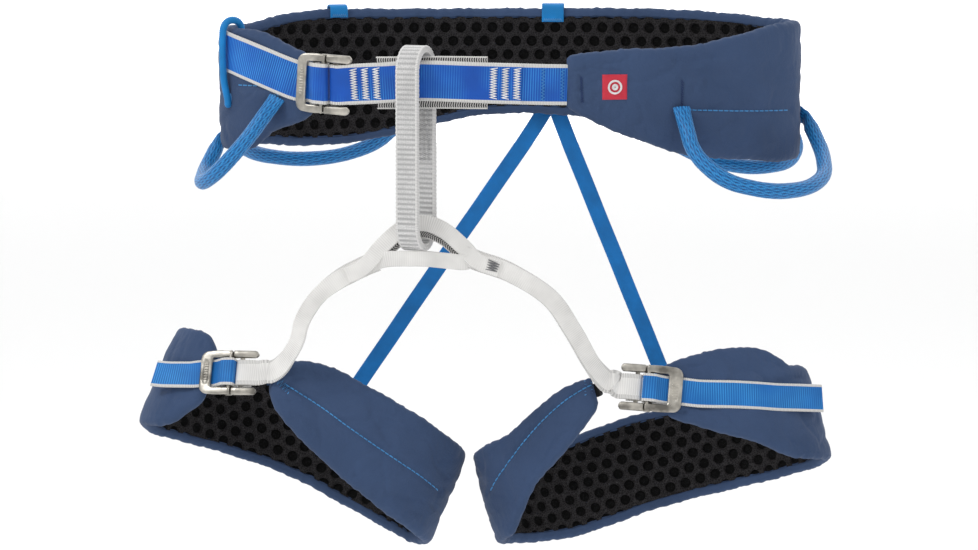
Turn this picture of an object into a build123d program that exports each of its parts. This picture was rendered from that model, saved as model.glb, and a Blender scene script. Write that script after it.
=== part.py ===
"""Climbing harness: a padded waist belt, two leg loops, a belay loop and their webbing.

Frame: origin at the centre of the waist ring at mid height, +Z up, +X to the wearer's left as
seen from the front, and the front of the harness towards -Y. Millimetres.
"""
import os
from math import cos, radians, sin, sqrt

from build123d import *

os.makedirs("parts", exist_ok=True)

# ---- driving dimensions -------------------------------------------------------------------
FABRIC = 1.2            # outer fabric of the pads
RIM = 7.0               # width of the fabric folded over each pad's edge
WEB = 1.8               # thickness of the load webbing

WAIST = (205.0, 78.0)   # outer half axes of the waist ring
WAIST_WALL = 9.0        # foam, fabric and lining together
WAIST_WEB = 28.0        # width of the waist webbing
LEG_WALL = 7.5
LEG_WEB = 20.0

LOOP_WEB = 16.0         # belay loop webbing
LOOP_THICK = 4.6        # three sewn layers
LOOP_GAP = 28.0         # clear space between its two strands
LOOP_TOP, LOOP_BOTTOM = 36.0, -105.2
LOOP_AT = (-65.0, -73.0)
LOOP_TURN = 20.0        # the loop hangs slightly turned about the vertical

CORD = 10.5             # gear loop sheath
CORD_CORE = 6.5         # stiff tube inside it
RISER_WEB = 12.0


# ---- shared shapes ------------------------------------------------------------------------
def ring_point(size, x, offset, z, side=-1):
    """A point over an elliptical ring at a given x, a given distance outside its surface."""
    across = size[0] + offset
    depth = size[1] + offset
    return Vector(x, side * depth * sqrt(max(0.0, 1 - (x / across) ** 2)), z)


def ring_outward(size, x, side=-1):
    """The ring's outward direction at a given x."""
    y = side * size[1] * sqrt(max(0.0, 1 - (x / size[0]) ** 2))
    return Vector(x / size[0] ** 2, y / size[1] ** 2, 0).normalized()


def smooth(points, steps=4):
    """Points along a smooth curve that passes through the given ones."""
    known = [Vector(*point) for point in points]
    padded = [known[0] * 2 - known[1]] + known + [known[-1] * 2 - known[-2]]
    curve = []
    for before, start, end, after in zip(padded, padded[1:], padded[2:], padded[3:]):
        for step in range(steps):
            t = step / steps
            even = start * 2 + (end - before) * t
            even += (before * 2 - start * 5 + end * 4 - after) * t**2
            even += (start * 3 - before - end * 3 + after) * t**3
            curve.append(even * 0.5)
    return curve + [known[-1]]


def ribbon(points, sides, width, thickness, steps=4):
    """Webbing along a smooth route; each side vector runs across the webbing's face."""
    route = smooth(points, steps)
    across = smooth(sides, steps)
    with BuildPart() as webbing:
        for place, side in enumerate(across):
            ahead = route[min(place + 1, len(route) - 1)] - route[max(place - 1, 0)]
            if place == 0:
                ahead = Vector(*points[1]) - Vector(*points[0])
            if place == len(route) - 1:
                ahead = Vector(*points[-1]) - Vector(*points[-2])
            with BuildSketch(Plane(origin=route[place], x_dir=side, z_dir=ahead)):
                Rectangle(width, thickness)
        loft(ruled=True)
    return webbing.part


def outline_face(top, low, reach, grow, free_end):
    """Front outline of a pad between its two edges, from its free end or far side to the other.

    top and low run in the same direction; each stretch beyond the last point is level.
    """
    upper = [(x, z + grow) for x, z in top]
    lower = [(x, z - grow) for x, z in low]
    start = grow * (-1 if reach > 0 else 1) if free_end else 0
    upper[0] = (upper[0][0] + start, upper[0][1])
    lower[0] = (lower[0][0] + start, lower[0][1])
    with BuildLine() as border:
        Spline(*upper)
        Line(upper[-1], (reach, upper[-1][1]))
        Line((reach, upper[-1][1]), (reach, lower[-1][1]))
        Line((reach, lower[-1][1]), lower[-1])
        Spline(*lower[::-1])
        if free_end:
            Line(lower[0], upper[0])
        else:
            Polyline(lower[0], (-reach, lower[0][1]), (-reach, upper[0][1]), upper[0])
    make_face(border.edges())


def pad_band(pad, outer, inner, grow):
    """The part of a pad's elliptical wall between two depths, its outline grown or shrunk."""
    ground, size = pad["plane"], pad["size"]
    view = Plane(origin=ground.origin, x_dir=ground.x_dir, z_dir=-ground.y_dir)
    reach = size[0] + 15
    with BuildPart() as band:
        with BuildSketch(view):
            outline_face(*pad["back"], reach, grow, False)
        extrude(amount=-size[1] - 10)
        for wing in ("left_wing", "right_wing"):
            with BuildSketch(view):
                outline_face(*pad[wing], reach if wing == "right_wing" else -reach, grow, True)
            extrude(amount=size[1] + 10)
        with BuildSketch(ground.offset(-90)):
            Ellipse(size[0] - outer, size[1] - outer)
            Ellipse(size[0] - inner, size[1] - inner, mode=Mode.SUBTRACT)
        extrude(amount=180, mode=Mode.INTERSECT)
    return band.part


def save(block, name):
    """Label a finished piece and write it."""
    block.part.label = name
    export_step(block.part, f"parts/{name}.step")


# ---- the three pads -----------------------------------------------------------------------
def tilted(origin, slant, tilt):
    """A leg loop's plane: slanted in the front view, then tipped so that its back hangs."""
    x_dir = Vector(cos(radians(slant)), 0, sin(radians(slant)))
    rise = Vector(-sin(radians(slant)), 0, cos(radians(slant)))
    back = Vector(0, 1, 0) * cos(radians(tilt)) - rise * sin(radians(tilt))
    return Plane(origin=origin, x_dir=x_dir, z_dir=x_dir.cross(back))


waist_pad = {
    "plane": Plane.XY,
    "size": WAIST,
    "wall": WAIST_WALL,
    "back": (
        [(-192, 45), (-160, 52), (-110, 54), (32, 54), (138, 53), (170, 51), (192, 49)],
        [
            (-192, -41), (-150, -45), (-84, -38), (-30, -26),
            (30, -24), (90, -31), (150, -44), (192, -49),
        ],
    ),
    "right_wing": (
        [(39, 29), (75, 33), (125, 35), (162, 42), (192, 49)],
        [(39, -7), (62, -19), (90, -30), (125, -41), (160, -45), (192, -49)],
    ),
    "left_wing": (
        [(-140, 28), (-156, 34), (-172, 42), (-192, 45)],
        [(-140, -13), (-155, -21), (-172, -28), (-184, -38), (-192, -41)],
    ),
}
leg_right_pad = {
    "plane": tilted((103, -5, -268), 16.3, 20),
    "size": (124.0, 62.0),
    "wall": LEG_WALL,
    "back": (
        [(-114, 42), (-70, 41), (-30, 45), (0, 46), (50, 41), (114, 37)],
        [(-114, -26), (-76, -30), (-17, -26), (41, -27), (80, -30), (114, -33)],
    ),
    "right_wing": (
        [(20, 53), (36, 57), (60, 58), (84, 56), (102, 49), (114, 37)],
        [(20, 19), (52, 0), (82, -17), (102, -30), (114, -33)],
    ),
    "left_wing": (
        [(-26, 63), (-50, 60), (-75, 51), (-96, 43), (-114, 42)],
        [(-26, 41), (-44, 27), (-65, 14), (-89, 0), (-104, -15), (-114, -26)],
    ),
}
leg_left_pad = {
    "plane": tilted((-148.5, -5, -250), -23, 20),
    "size": (113.0, 60.0),
    "wall": LEG_WALL,
    "back": (
        [(-103, 39), (-50, 40), (0, 41), (50, 40), (103, 36)],
        [(-103, -36), (-82, -31), (-46, -25), (5, -22), (49, -27), (75, -31), (103, -37)],
    ),
    "right_wing": (
        [(-38, 34), (-20, 43), (23, 44), (60, 41), (103, 36)],
        [(-38, 14), (-28, 3), (-10, -7), (18, -18), (48, -27), (80, -34), (103, -37)],
    ),
    "left_wing": (
        [(-78, 20), (-86, 31), (-95, 38), (-103, 39)],
        [(-78, -9), (-88, -23), (-96, -33), (-103, -36)],
    ),
}
PADS = {"waistbelt": waist_pad, "leg_left": leg_left_pad, "leg_right": leg_right_pad}


# ---- webbing inside the pads --------------------------------------------------------------
def strip_outlines(centre, width):
    """Top and low edges of webbing from its centre line in the front view."""
    half = width / 2
    return [(x, z + half) for x, z in centre], [(x, z - half) for x, z in centre]


CORES = {
    "waistbelt": (WAIST_WEB, {
        "back": [(-192, 8), (0, 8), (192, 8)],
        "right_wing": [(40, 8), (110, 5), (192, 8)],
        "left_wing": [(-141, 8), (-165, 8), (-192, 8)],
    }),
    "leg_left": (LEG_WEB, {
        "back": [(-103, 6), (0, 8), (103, 2)],
        "right_wing": [(-37, 24), (20, 14), (103, 2)],
        "left_wing": [(-80, 4), (-92, 5), (-103, 6)],
    }),
    "leg_right": (LEG_WEB, {
        "back": [(-114, 8), (0, 10), (114, 2)],
        "right_wing": [(22, 38), (60, 25), (114, 2)],
        "left_wing": [(-27, 52), (-70, 32), (-114, 8)],
    }),
}

core_bands = {}
for name, (width, centres) in CORES.items():
    strip = {side: strip_outlines(centre, width) for side, centre in centres.items()}
    strip["plane"] = PADS[name]["plane"]
    strip["size"] = PADS[name]["size"]
    core_bands[name] = pad_band(strip, FABRIC, FABRIC + WEB, 0)

for name, pad in PADS.items():
    wall = pad["wall"]
    whole = pad_band(pad, 0, wall, 0)
    filling = pad_band(pad, FABRIC, wall - FABRIC, -FABRIC)
    window = pad_band(pad, wall - FABRIC, wall + 1, -RIM)
    net = pad_band(pad, wall - FABRIC, wall, -RIM)

    with BuildPart() as shell:
        add(whole)
        add(filling, mode=Mode.SUBTRACT)
        add(window, mode=Mode.SUBTRACT)
        add(core_bands[name], mode=Mode.SUBTRACT)
    save(shell, f"{name}_shell")

    with BuildPart() as core:
        add(core_bands[name])
    save(core, f"{name}_core_webbing")

    with BuildPart() as foam:
        add(filling)
        add(core_bands[name], mode=Mode.SUBTRACT)
    save(foam, f"{name}_foam")

    with BuildPart() as lining:
        add(net)
    save(lining, f"{name}_lining")


# ---- buckles ------------------------------------------------------------------------------
# Each buckle lies in its own plane: x along the webbing towards the free tail, y across it,
# z away from the body. x = 0 is the bar inside the sewn loop.
PLATE_THICK = 1.8
PLATE_REACH = (-12.0, 12.0)
PLATE_BAR = (-1.6, 1.6)
PLATE_TAIL_BAR = 6.0
FRAME_LOW, FRAME_HIGH = 2.8, 5.4
PIVOT_X, PIVOT_Z, PIVOT_R = 7.8, 4.1, 1.5
FOLD = 1.5              # webbing where it folds round a bar
WRAP_START = 3.9        # outside of the tail's turn round the bars
WRAP_TOP = 7.4
TAIL_TURN = 12.5        # where the tail leaves the turn


def buckle_pieces(plane, web, height, bar_start, bar_end):
    """Sewn loop, plate, tail turn and lifting frame of one buckle, all in its plane."""
    window = web / 2 + 0.9
    rail = height / 2 - window
    edge_on = Plane(origin=plane.origin, x_dir=plane.x_dir, z_dir=-plane.y_dir)

    with BuildPart() as fold:
        with BuildSketch(edge_on):
            with Locations((-2.3, 0.9)):
                RectangleRounded(11.4, 5.2, 2.5)
                RectangleRounded(11.4 - 2 * FOLD, 5.2 - 2 * FOLD, 0.3, mode=Mode.SUBTRACT)
        extrude(amount=web / 2, both=True)

    with BuildPart() as plate:
        with BuildSketch(plane):
            for side in (-1, 1):
                with Locations((sum(PLATE_REACH) / 2, side * (window + rail / 2))):
                    RectangleRounded(PLATE_REACH[1] - PLATE_REACH[0], rail, rail / 2.2)
            Rectangle(PLATE_BAR[1] - PLATE_BAR[0], 2 * window + 2)
            with Locations(((PLATE_TAIL_BAR + PLATE_REACH[1]) / 2, 0)):
                Rectangle(PLATE_REACH[1] - PLATE_TAIL_BAR, 2 * window + 2)
        extrude(amount=PLATE_THICK)

    with BuildPart() as turn:
        with BuildSketch(edge_on):
            with Locations(((WRAP_START + TAIL_TURN + 3) / 2, WRAP_TOP / 2 - 0.9)):
                RectangleRounded(TAIL_TURN + 3 - WRAP_START, WRAP_TOP + 1.8, 2.6)
            inner_start = WRAP_START + FOLD
            with Locations(((inner_start + 22) / 2, WRAP_TOP / 2 - 0.9)):
                RectangleRounded(22 - inner_start, WRAP_TOP + 1.8 - 2 * FOLD, 0.3, mode=Mode.SUBTRACT)
            with Locations((TAIL_TURN + 5, WRAP_TOP / 2)):
                Rectangle(10, WRAP_TOP + 10, mode=Mode.SUBTRACT)
        extrude(amount=web / 2, both=True)

    with BuildPart() as frame:
        start = PIVOT_X - PIVOT_R
        with BuildSketch(plane.offset(FRAME_LOW)):
            with Locations(((start + bar_end) / 2, 0)):
                RectangleRounded(bar_end - start, height, 5)
            with Locations((start + 4, 0)):
                RectangleRounded(8, height, 1.4)
            with Locations(((start - 1 + bar_start) / 2, 0)):
                Rectangle(bar_start - start + 1, 2 * window, mode=Mode.SUBTRACT)
        extrude(amount=FRAME_HIGH - FRAME_LOW)
        chamfer(frame.faces().sort_by(Axis(plane.origin, plane.z_dir))[-1].outer_wire().edges(), 0.5)
        across = Plane(
            origin=plane.from_local_coords((PIVOT_X, 0, PIVOT_Z)), x_dir=plane.x_dir, z_dir=plane.y_dir
        )
        with BuildSketch(across):
            Circle(PIVOT_R)
        extrude(amount=window + 1, both=True)
    return fold.part, plate.part, turn.part, frame.part


def on_pad(pad, x, offset, z, side=-1):
    """A point over a pad's wall, in the harness frame."""
    return pad["plane"].from_local_coords(ring_point(pad["size"], x, offset, z, side))


def buckle_plane(pad, start, towards):
    """Plane over a pad's surface whose x axis follows the webbing, from two (x, z) points."""
    origin = on_pad(pad, start[0], 0, start[1])
    x_dir = on_pad(pad, towards[0], 0, towards[1]) - origin
    ground = pad["plane"]
    tip = Vector(*ground.from_local_coords(ring_outward(pad["size"], (start[0] + towards[0]) / 2)))
    outward = tip - ground.origin
    return Plane(origin=origin, x_dir=x_dir, z_dir=outward - x_dir * (outward.dot(x_dir) / x_dir.dot(x_dir)))


def in_plane(plane, *places):
    """Points given along and above a buckle's plane, in the harness frame."""
    return [plane.from_local_coords((x, 0, z)) for x, z in places]


waist_buckle_at = buckle_plane(waist_pad, (-121, 8.5), (-150, 10.5))
leg_right_buckle_at = buckle_plane(leg_right_pad, (3.6, 45.0), (37, 32.5))
leg_left_buckle_at = buckle_plane(leg_left_pad, (-57.8, 17.5), (-84, 8))
BUCKLES = {
    "waist": (waist_buckle_at, WAIST_WEB, 41.0, 19.5, 26.5),
    "leg_left": (leg_left_buckle_at, LEG_WEB, 32.0, 21.0, 29.5),
    "leg_right": (leg_right_buckle_at, LEG_WEB, 33.0, 22.0, 32.0),
}
folds, turns = {}, {}
for name, setting in BUCKLES.items():
    folds[name], plate_part, turns[name], frame_part = buckle_pieces(*setting)
    with BuildPart() as plate:
        add(plate_part)
    save(plate, f"{name}_buckle_plate")
    with BuildPart() as frame:
        add(frame_part)
    save(frame, f"{name}_buckle_frame")

# ---- waist webbing ------------------------------------------------------------------------
UP = (0, 0, 1)


def round_waist(places, width, thickness, side=-1, across=UP):
    """Webbing laid round the waist ring through (x, offset, z) places."""
    points = [ring_point(WAIST, x, offset, z, side) for x, offset, z in places]
    return ribbon(points, [across] * len(points), width, thickness)


front_places = [
    (38.4, -4.5, 9), (18, -1.5, 9.5), (-13, 0.9, 10.5),
    (-62, 0.9, 12), (-92, 0.9, 10), (-113, 0.9, 8.6),
]
with BuildPart() as waist_front_webbing:
    add(round_waist(front_places, WAIST_WEB, WEB))
    add(folds["waist"])
save(waist_front_webbing, "waist_front_webbing")

tie_in_places = [(7, 2.8, 10.2), (-30, 2.8, 11.2), (-62, 2.8, 12), (-92, 2.8, 10), (-110, 2.8, 9)]
with BuildPart() as upper_tie_in_webbing:
    add(round_waist(tie_in_places, WAIST_WEB - 1, WEB))
save(upper_tie_in_webbing, "upper_tie_in_webbing")

sleeve_places = [(-18, -0.7, 10.8), (-50, -0.7, 10.8), (-88, -0.7, 10)]
with BuildPart() as upper_tie_in_sleeve:
    add(round_waist(sleeve_places, 36, 1.2))
save(upper_tie_in_sleeve, "upper_tie_in_sleeve")

with BuildPart() as waist_bartacks:
    for x in (6, -4, -13, -92.5, -100.5, -108):
        add(round_waist([(x + 1.6, 4.05, 10), (x - 1.6, 4.05, 10)], 20, 0.5))
save(waist_bartacks, "waist_bartacks")

tail_route = in_plane(waist_buckle_at, (12.3, 6.65), (15.5, 4.2), (19.0, 1.2), (27.0, 1.0))
tail_route += [ring_point(WAIST, x, 1.1, z) for x, z in ((-158, 14), (-174, 20), (-188, 25), (-197, 28))]
with BuildPart() as waist_tail_webbing:
    add(turns["waist"])
    add(ribbon(tail_route, [UP] * len(tail_route), WAIST_WEB, FOLD))
    add(round_waist([(-131, -1.1, 8.8), (-139.4, -1.6, 8)], WAIST_WEB, 1.4))
save(waist_tail_webbing, "waist_tail_webbing")


def beside_waist(x, offset, z, side=-1):
    """A place square to the belt's surface, outside it or inside it."""
    return ring_point(WAIST, x, 0, z, side) + ring_outward(WAIST, x, side) * offset


KEEPER_X = -197.0
keeper_places = [(-10.2, 34), (-10.2, 46.2), (-4, 47.6), (2.6, 46.2), (3.0, 22), (3.0, -3)]
keeper_points = [beside_waist(KEEPER_X, offset, z) for offset, z in keeper_places]
keeper_side = ring_outward(WAIST, KEEPER_X).cross(Vector(*UP))
with BuildPart() as tail_keeper:
    add(ribbon(keeper_points, [keeper_side] * len(keeper_points), 6, 1.4))
save(tail_keeper, "tail_keeper")

with BuildPart() as side_label:
    add(round_waist([(62.5, 0.4, 8), (79, 0.4, 8)], 18, 0.6))
save(side_label, "side_label")


# ---- straps over the belt's back rim ------------------------------------------------------
def over_rim(x, top, width, inside, outside):
    """A flat strap folded over the back rim at one x, down the inside and the outside."""
    depth = WAIST_WALL + 0.9
    places = [(-depth, inside), (-depth, top), (-depth / 2, top + 1.6), (0.9, top), (0.9, outside)]
    points = [beside_waist(x, offset, z, 1) for offset, z in places]
    along = ring_outward(WAIST, x, 1).cross(Vector(*UP))
    return ribbon(points, [along] * len(points), width, 1.2, 3)


RIM_TOP = 54.9
HAUL_X = 32.0
with BuildPart() as rim_keeper:
    add(over_rim(-126, RIM_TOP, 13, 48, 44))
save(rim_keeper, "rim_keeper")

with BuildPart() as haul_loop_tab:
    add(over_rim(HAUL_X, RIM_TOP, 16, 44, 40))
save(haul_loop_tab, "haul_loop_tab")

HAUL_AT = (HAUL_X, 85.5, 38.0)
HAUL_RING = (48.0, 14.0)
haul_side = Plane(origin=HAUL_AT, x_dir=(0, 1, 0), z_dir=(1, 0, 0))
with BuildPart() as haul_loop:
    with BuildSketch(haul_side):
        with Locations((1.5, -17)):
            SlotOverall(*HAUL_RING, rotation=86)
            SlotOverall(HAUL_RING[0] - 4, HAUL_RING[1] - 4, rotation=86, mode=Mode.SUBTRACT)
    extrude(amount=6, both=True)
save(haul_loop, "haul_loop")

with BuildPart() as haul_loop_bar:
    with BuildSketch(haul_side):
        Circle(2)
    extrude(amount=9.5, both=True)
    for start in (-9.5, 7.5):
        with BuildSketch(haul_side.offset(start)):
            with Locations((-2.2, 0)):
                Rectangle(5.2, 4)
        extrude(amount=2)
save(haul_loop_bar, "haul_loop_bar")

# ---- belay loop ---------------------------------------------------------------------------
loop_middle = (LOOP_TOP + LOOP_BOTTOM) / 2
loop_through = Vector(sin(radians(LOOP_TURN)), cos(radians(LOOP_TURN)), 0)
loop_plane = Plane(
    origin=(*LOOP_AT, loop_middle), x_dir=loop_through, z_dir=loop_through.cross(Vector(*UP))
)
loop_depth = LOOP_GAP + 2 * LOOP_THICK
with BuildPart() as belay_loop:
    with BuildSketch(loop_plane):
        SlotOverall(LOOP_TOP - LOOP_BOTTOM, loop_depth, rotation=90)
        SlotOverall(LOOP_TOP - LOOP_BOTTOM - 2 * LOOP_THICK, LOOP_GAP, rotation=90, mode=Mode.SUBTRACT)
    extrude(amount=LOOP_WEB / 2, both=True)
save(belay_loop, "belay_loop")

with BuildPart() as belay_loop_bartack:
    with BuildSketch(loop_plane):
        with Locations((LOOP_GAP / 2 - 0.3, 6)):
            Rectangle(0.6, 42)
    extrude(amount=5, both=True)
save(belay_loop_bartack, "belay_loop_bartack")

# ---- bridge between the leg loops ---------------------------------------------------------
# The bands lie nearly upright and face forwards; their ends are stacked into the white straps.
EYE_LEFT, EYE_RIGHT = Vector(-101, -80, -115.5), Vector(-23, -80, -111.5)
upper_route = [
    EYE_LEFT, (-88, -78, -101), (-74, -74.5, -89.5), (-60, -73.5, -86),
    (-46, -75, -91), (-33, -78, -102), EYE_RIGHT,
]
upper_sides = [
    (-0.5, 0.1, 0.85), (-0.5, 0.2, 0.85), (-0.3, 0.2, 0.9), (0, 0.2, 1),
    (0.3, 0.2, 0.9), (0.5, 0.2, 0.85), (0.4, 0.1, 0.85),
]
lower_route = [
    EYE_LEFT, (-86, -82, -110.5), (-72, -83, -109.8), (-58, -83, -110),
    (-42, -83, -111.5), (-32, -82, -112.5), EYE_RIGHT,
]
lower_sides = [
    (-0.5, 0, 0.85), (-0.1, 0, 1), (0, 0, 1), (0, 0, 1),
    (0.1, 0, 1), (0.2, 0, 1), (0.4, 0, 0.85),
]


def shifted(route, forward, up):
    """The same route moved towards the front and upwards."""
    return [Vector(*point) + Vector(0, -forward, up) for point in route]


with BuildPart() as bridge_upper_band:
    add(ribbon(shifted(upper_route, 1.1, 0), upper_sides, 11, WEB))
save(bridge_upper_band, "bridge_upper_band")

with BuildPart() as bridge_upper_liner:
    add(ribbon(shifted(upper_route[1:-1], -1.0, -2.4), upper_sides[1:-1], 10.5, WEB))
save(bridge_upper_liner, "bridge_upper_liner")

with BuildPart() as bridge_lower_band:
    add(ribbon(shifted(lower_route, -1.1, 0), lower_sides, 11, WEB))
save(bridge_lower_band, "bridge_lower_band")

strap_right_route = [
    EYE_RIGHT + Vector(0.6, 0, -0.2), (0, -80, -120), (27, -76, -138), (43, -68, -162),
    (56, -58, -186), (66, -51, -199.5), (70, -50, -201.5), (72.4, -50, -201.5),
]
strap_right_sides = [
    (0.35, 0, 0.9), (0.4, 0, 0.9), (0.7, 0.1, 0.7), (0.85, 0.3, 0.4),
    (0.75, 0.45, 0.45), (0.35, 0.35, 0.85), (0.1, 0.3, 0.95), (0, 0.3, 0.95),
]
strap_left_route = [
    EYE_LEFT + Vector(-0.6, 0, -0.2), (-118, -79, -124.5), (-133, -76, -137), (-144, -70, -154),
    (-149, -63, -171), (-159, -55, -187.5), (-167, -52.5, -193.5), (-171, -52.5, -193.5),
]
strap_left_sides = [
    (-0.5, 0, 0.85), (-0.5, 0, 0.85), (-0.6, 0.1, 0.75), (-0.8, 0.35, 0.45),
    (-0.75, 0.5, 0.4), (-0.45, 0.35, 0.8), (-0.1, 0.2, 0.95), (0, 0.2, 0.97),
]
with BuildPart() as leg_right_strap:
    add(ribbon(strap_right_route, strap_right_sides, 15, 3.4))
save(leg_right_strap, "leg_right_strap")
with BuildPart() as leg_left_strap:
    add(ribbon(strap_left_route, strap_left_sides, 15, 3.4))
save(leg_left_strap, "leg_left_strap")

with BuildPart() as bridge_bartacks:
    add(ribbon([(-4, -82.3, -118.6), (8, -81.9, -123.2)], [(0.35, 0, 0.9)] * 2, 9, 0.6, 1))
    add(ribbon([(-108, -82.3, -119.2), (-114, -82.2, -122.3)], [(-0.45, 0, 0.88)] * 2, 9, 0.6, 1))
save(bridge_bartacks, "bridge_bartacks")

# ---- leg loop webbing ---------------------------------------------------------------------
leg_cuts = {"leg_left": Vector(-171.6, -52.5, -193.5), "leg_right": Vector(73.0, -50, -201.5)}
# Free tails, in each leg loop's own plane: along the ring, then standing off it to the cut end.
tail_ends = {
    "leg_left": [(-91, -39, 5), (-100, -34.5, 2), (-108, -30, -0.5), (-115, -26, -2)],
    "leg_right": [
        (46, -59.2, 29), (66, -54, 23.5), (84, -46.8, 18.5),
        (98, -39.5, 14.5), (113, -31, 11), (128, -22, 7.5),
    ],
}
tip_loops = {"leg_left": (-38, 25), "leg_right": (-26, 53)}
for name, tail_places in tail_ends.items():
    plane, web, height, bar_start, bar_end = BUCKLES[name]
    pad = PADS[name]
    width_way = plane.y_dir if plane.y_dir.Z > 0 else -plane.y_dir
    start = in_plane(plane, (-6.5, 0.9))[0]
    cut = leg_cuts[name]
    outer = Vector(-1 if name == "leg_left" else 1, 0, 0)
    with BuildPart() as strap_end:
        add(folds[name])
        add(ribbon([cut, cut + outer * 3, start], [(0, 0.2, 0.97), width_way, width_way], LEG_WEB - 2, 2.6))
    save(strap_end, f"{name}_strap_end")

    route = in_plane(plane, (12.3, 6.65), (16.0, 3.6), (bar_start - 0.5, 1.3), (bar_end, 1.2))
    route += [pad["plane"].from_local_coords(place) for place in tail_places]
    ups = [width_way] * 4 + [pad["plane"].z_dir + pad["plane"].x_dir * 0.2] * len(tail_places)
    with BuildPart() as tail:
        add(turns[name])
        add(ribbon(route, ups, web, FOLD))
    save(tail, f"{name}_tail_webbing")

    tip_x, tip_z = tip_loops[name]
    inwards = 1 if name == "leg_left" else -1
    places = [(7, -LEG_WALL - 1.1), (-1.5, -LEG_WALL - 0.5), (-4.5, -4.2), (-5, -1.6)]
    loop_points = [on_pad(pad, tip_x + along * inwards, offset, tip_z) for along, offset in places]
    with BuildPart() as tip_loop:
        add(ribbon(loop_points, [pad["plane"].z_dir] * 4, 10, 1.3))
    save(tip_loop, f"{name}_tip_loop")

# ---- risers at the back -------------------------------------------------------------------
RISER_TOP_Z = -26.0
anchor_places = [(30, 1.1, -10), (30, 1.1, RISER_TOP_Z + 1.5)]
with BuildPart() as riser_anchor:
    anchor_points = [ring_point(WAIST, x, offset, z, 1) for x, offset, z in anchor_places]
    add(ribbon(anchor_points, [ring_outward(WAIST, 30, 1).cross(Vector(*UP))] * 2, 24, 1.4, 1))
save(riser_anchor, "riser_anchor")

riser_feet = {"leg_left": (20, 43.5), "leg_right": (27, 46.5)}
riser_tops = {"leg_left": 23.5, "leg_right": 36.5}
for name, (x, z) in riser_feet.items():
    pad = PADS[name]
    up = pad["plane"].z_dir
    foot = on_pad(pad, x, 1.0, z, 1)
    top = Vector(riser_tops[name], 79.2, RISER_TOP_Z)
    way = (top - foot).normalized()
    flat = way.cross(Vector(0, 1, 0)).normalized()
    with BuildPart() as riser_tab:
        low = on_pad(pad, x, 1.0, z - 22, 1)
        add(ribbon([low, foot - up * 3, foot + way * 4], [flat] * 3, 14, 1.4))
    save(riser_tab, f"{name}_riser_tab")
    with BuildPart() as riser:
        add(ribbon([foot + way * 4.6, (foot + top) / 2, top - way * 0.5], [flat] * 3, RISER_WEB, WEB, 2))
    save(riser, f"{name}_riser")

# ---- gear loops ---------------------------------------------------------------------------
CORD_STAND = CORD / 2 + 1.7     # the rounded ends stand this far off the belt


def beside_belt(x, z, side):
    """Where a gear loop's end sits: over a sewn patch on the belt."""
    return ring_point(WAIST, x, 0, z, side) + ring_outward(WAIST, x, side) * CORD_STAND


# Each route runs round the outside of the waist; its two ends are sewn to the belt.
GEAR_LOOPS = {
    "front_right": [
        beside_belt(117, -14, -1), (124, -87, -37), (145, -100, -55), (178, -96, -62.5),
        (204, -78, -62), (219, -50, -56), (220, -16, -42), beside_belt(204.5, -22, 1),
    ],
    "front_left": [
        beside_belt(-163, -8, -1), (-182, -66, -30), (-203, -58, -53), (-217, -34, -64),
        (-217, 6, -57), beside_belt(-201, -38, 1),
    ],
    "rear_right": [
        beside_belt(191, -22, 1), (210, 52, -44), (206, 76, -60), (182, 94, -66),
        (150, 102, -62), (118, 97, -46), beside_belt(98, -20, 1),
    ],
    "rear_left": [
        beside_belt(-182, -22, 1), (-200, 56, -42), (-188, 80, -54), (-158, 97, -60),
        (-125, 103, -58), (-94, 97, -46), beside_belt(-74, -22, 1),
    ],
}


def corded_path(points):
    """Straight runs joined by arcs as large as the runs allow, and the radii used."""
    corners = [Vector(*point) for point in points]
    radii = []
    for before, corner, after in zip(corners, corners[1:], corners[2:]):
        into, out = corner - before, after - corner
        half_turn = radians(into.get_angle(out)) / 2
        radii.append(0.45 * min(into.length, out.length) / (sin(half_turn) / cos(half_turn)))
    return corners, radii


for name, points in GEAR_LOOPS.items():
    corners, radii = corded_path(points)
    with BuildLine() as route:
        FilletPolyline(*corners, radius=radii)
    first, last = corners[0], corners[-1]
    with BuildPart() as core:
        with BuildSketch(Plane(origin=first, z_dir=corners[1] - first)):
            Circle(CORD_CORE / 2)
        sweep(path=route.wires()[0])
    with BuildPart() as sheath:
        with BuildSketch(Plane(origin=first, z_dir=corners[1] - first)):
            Circle(CORD / 2)
        sweep(path=route.wires()[0])
        for end in (first, last):
            with Locations(end):
                Sphere(CORD / 2)
        add(core.part, mode=Mode.SUBTRACT)
    print(f"gear loop {name}: length {route.wires()[0].length:.0f}, radii {[round(r) for r in radii]}")
    save(core, f"gear_loop_{name}_core")
    save(sheath, f"gear_loop_{name}_sheath")

with BuildPart() as gear_loop_patches:
    for points in GEAR_LOOPS.values():
        for end in (points[0], points[-1]):
            outward = Vector(end.X / WAIST[0] ** 2, end.Y / WAIST[1] ** 2, 0).normalized()
            with BuildSketch(Plane(origin=end - outward * (CORD_STAND - 0.2), z_dir=outward)):
                Circle(CORD / 2 + 1)
            extrude(amount=1.0)
save(gear_loop_patches, "gear_loop_patches")
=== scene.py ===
"""The looks of a climbing harness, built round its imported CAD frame.

Lengths are worked out in millimetres, like the design, and turned into metres when a mesh is made.
"""

import math

import bmesh
import bpy
import numpy as np
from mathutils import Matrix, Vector
from mathutils.bvhtree import BVHTree


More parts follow.
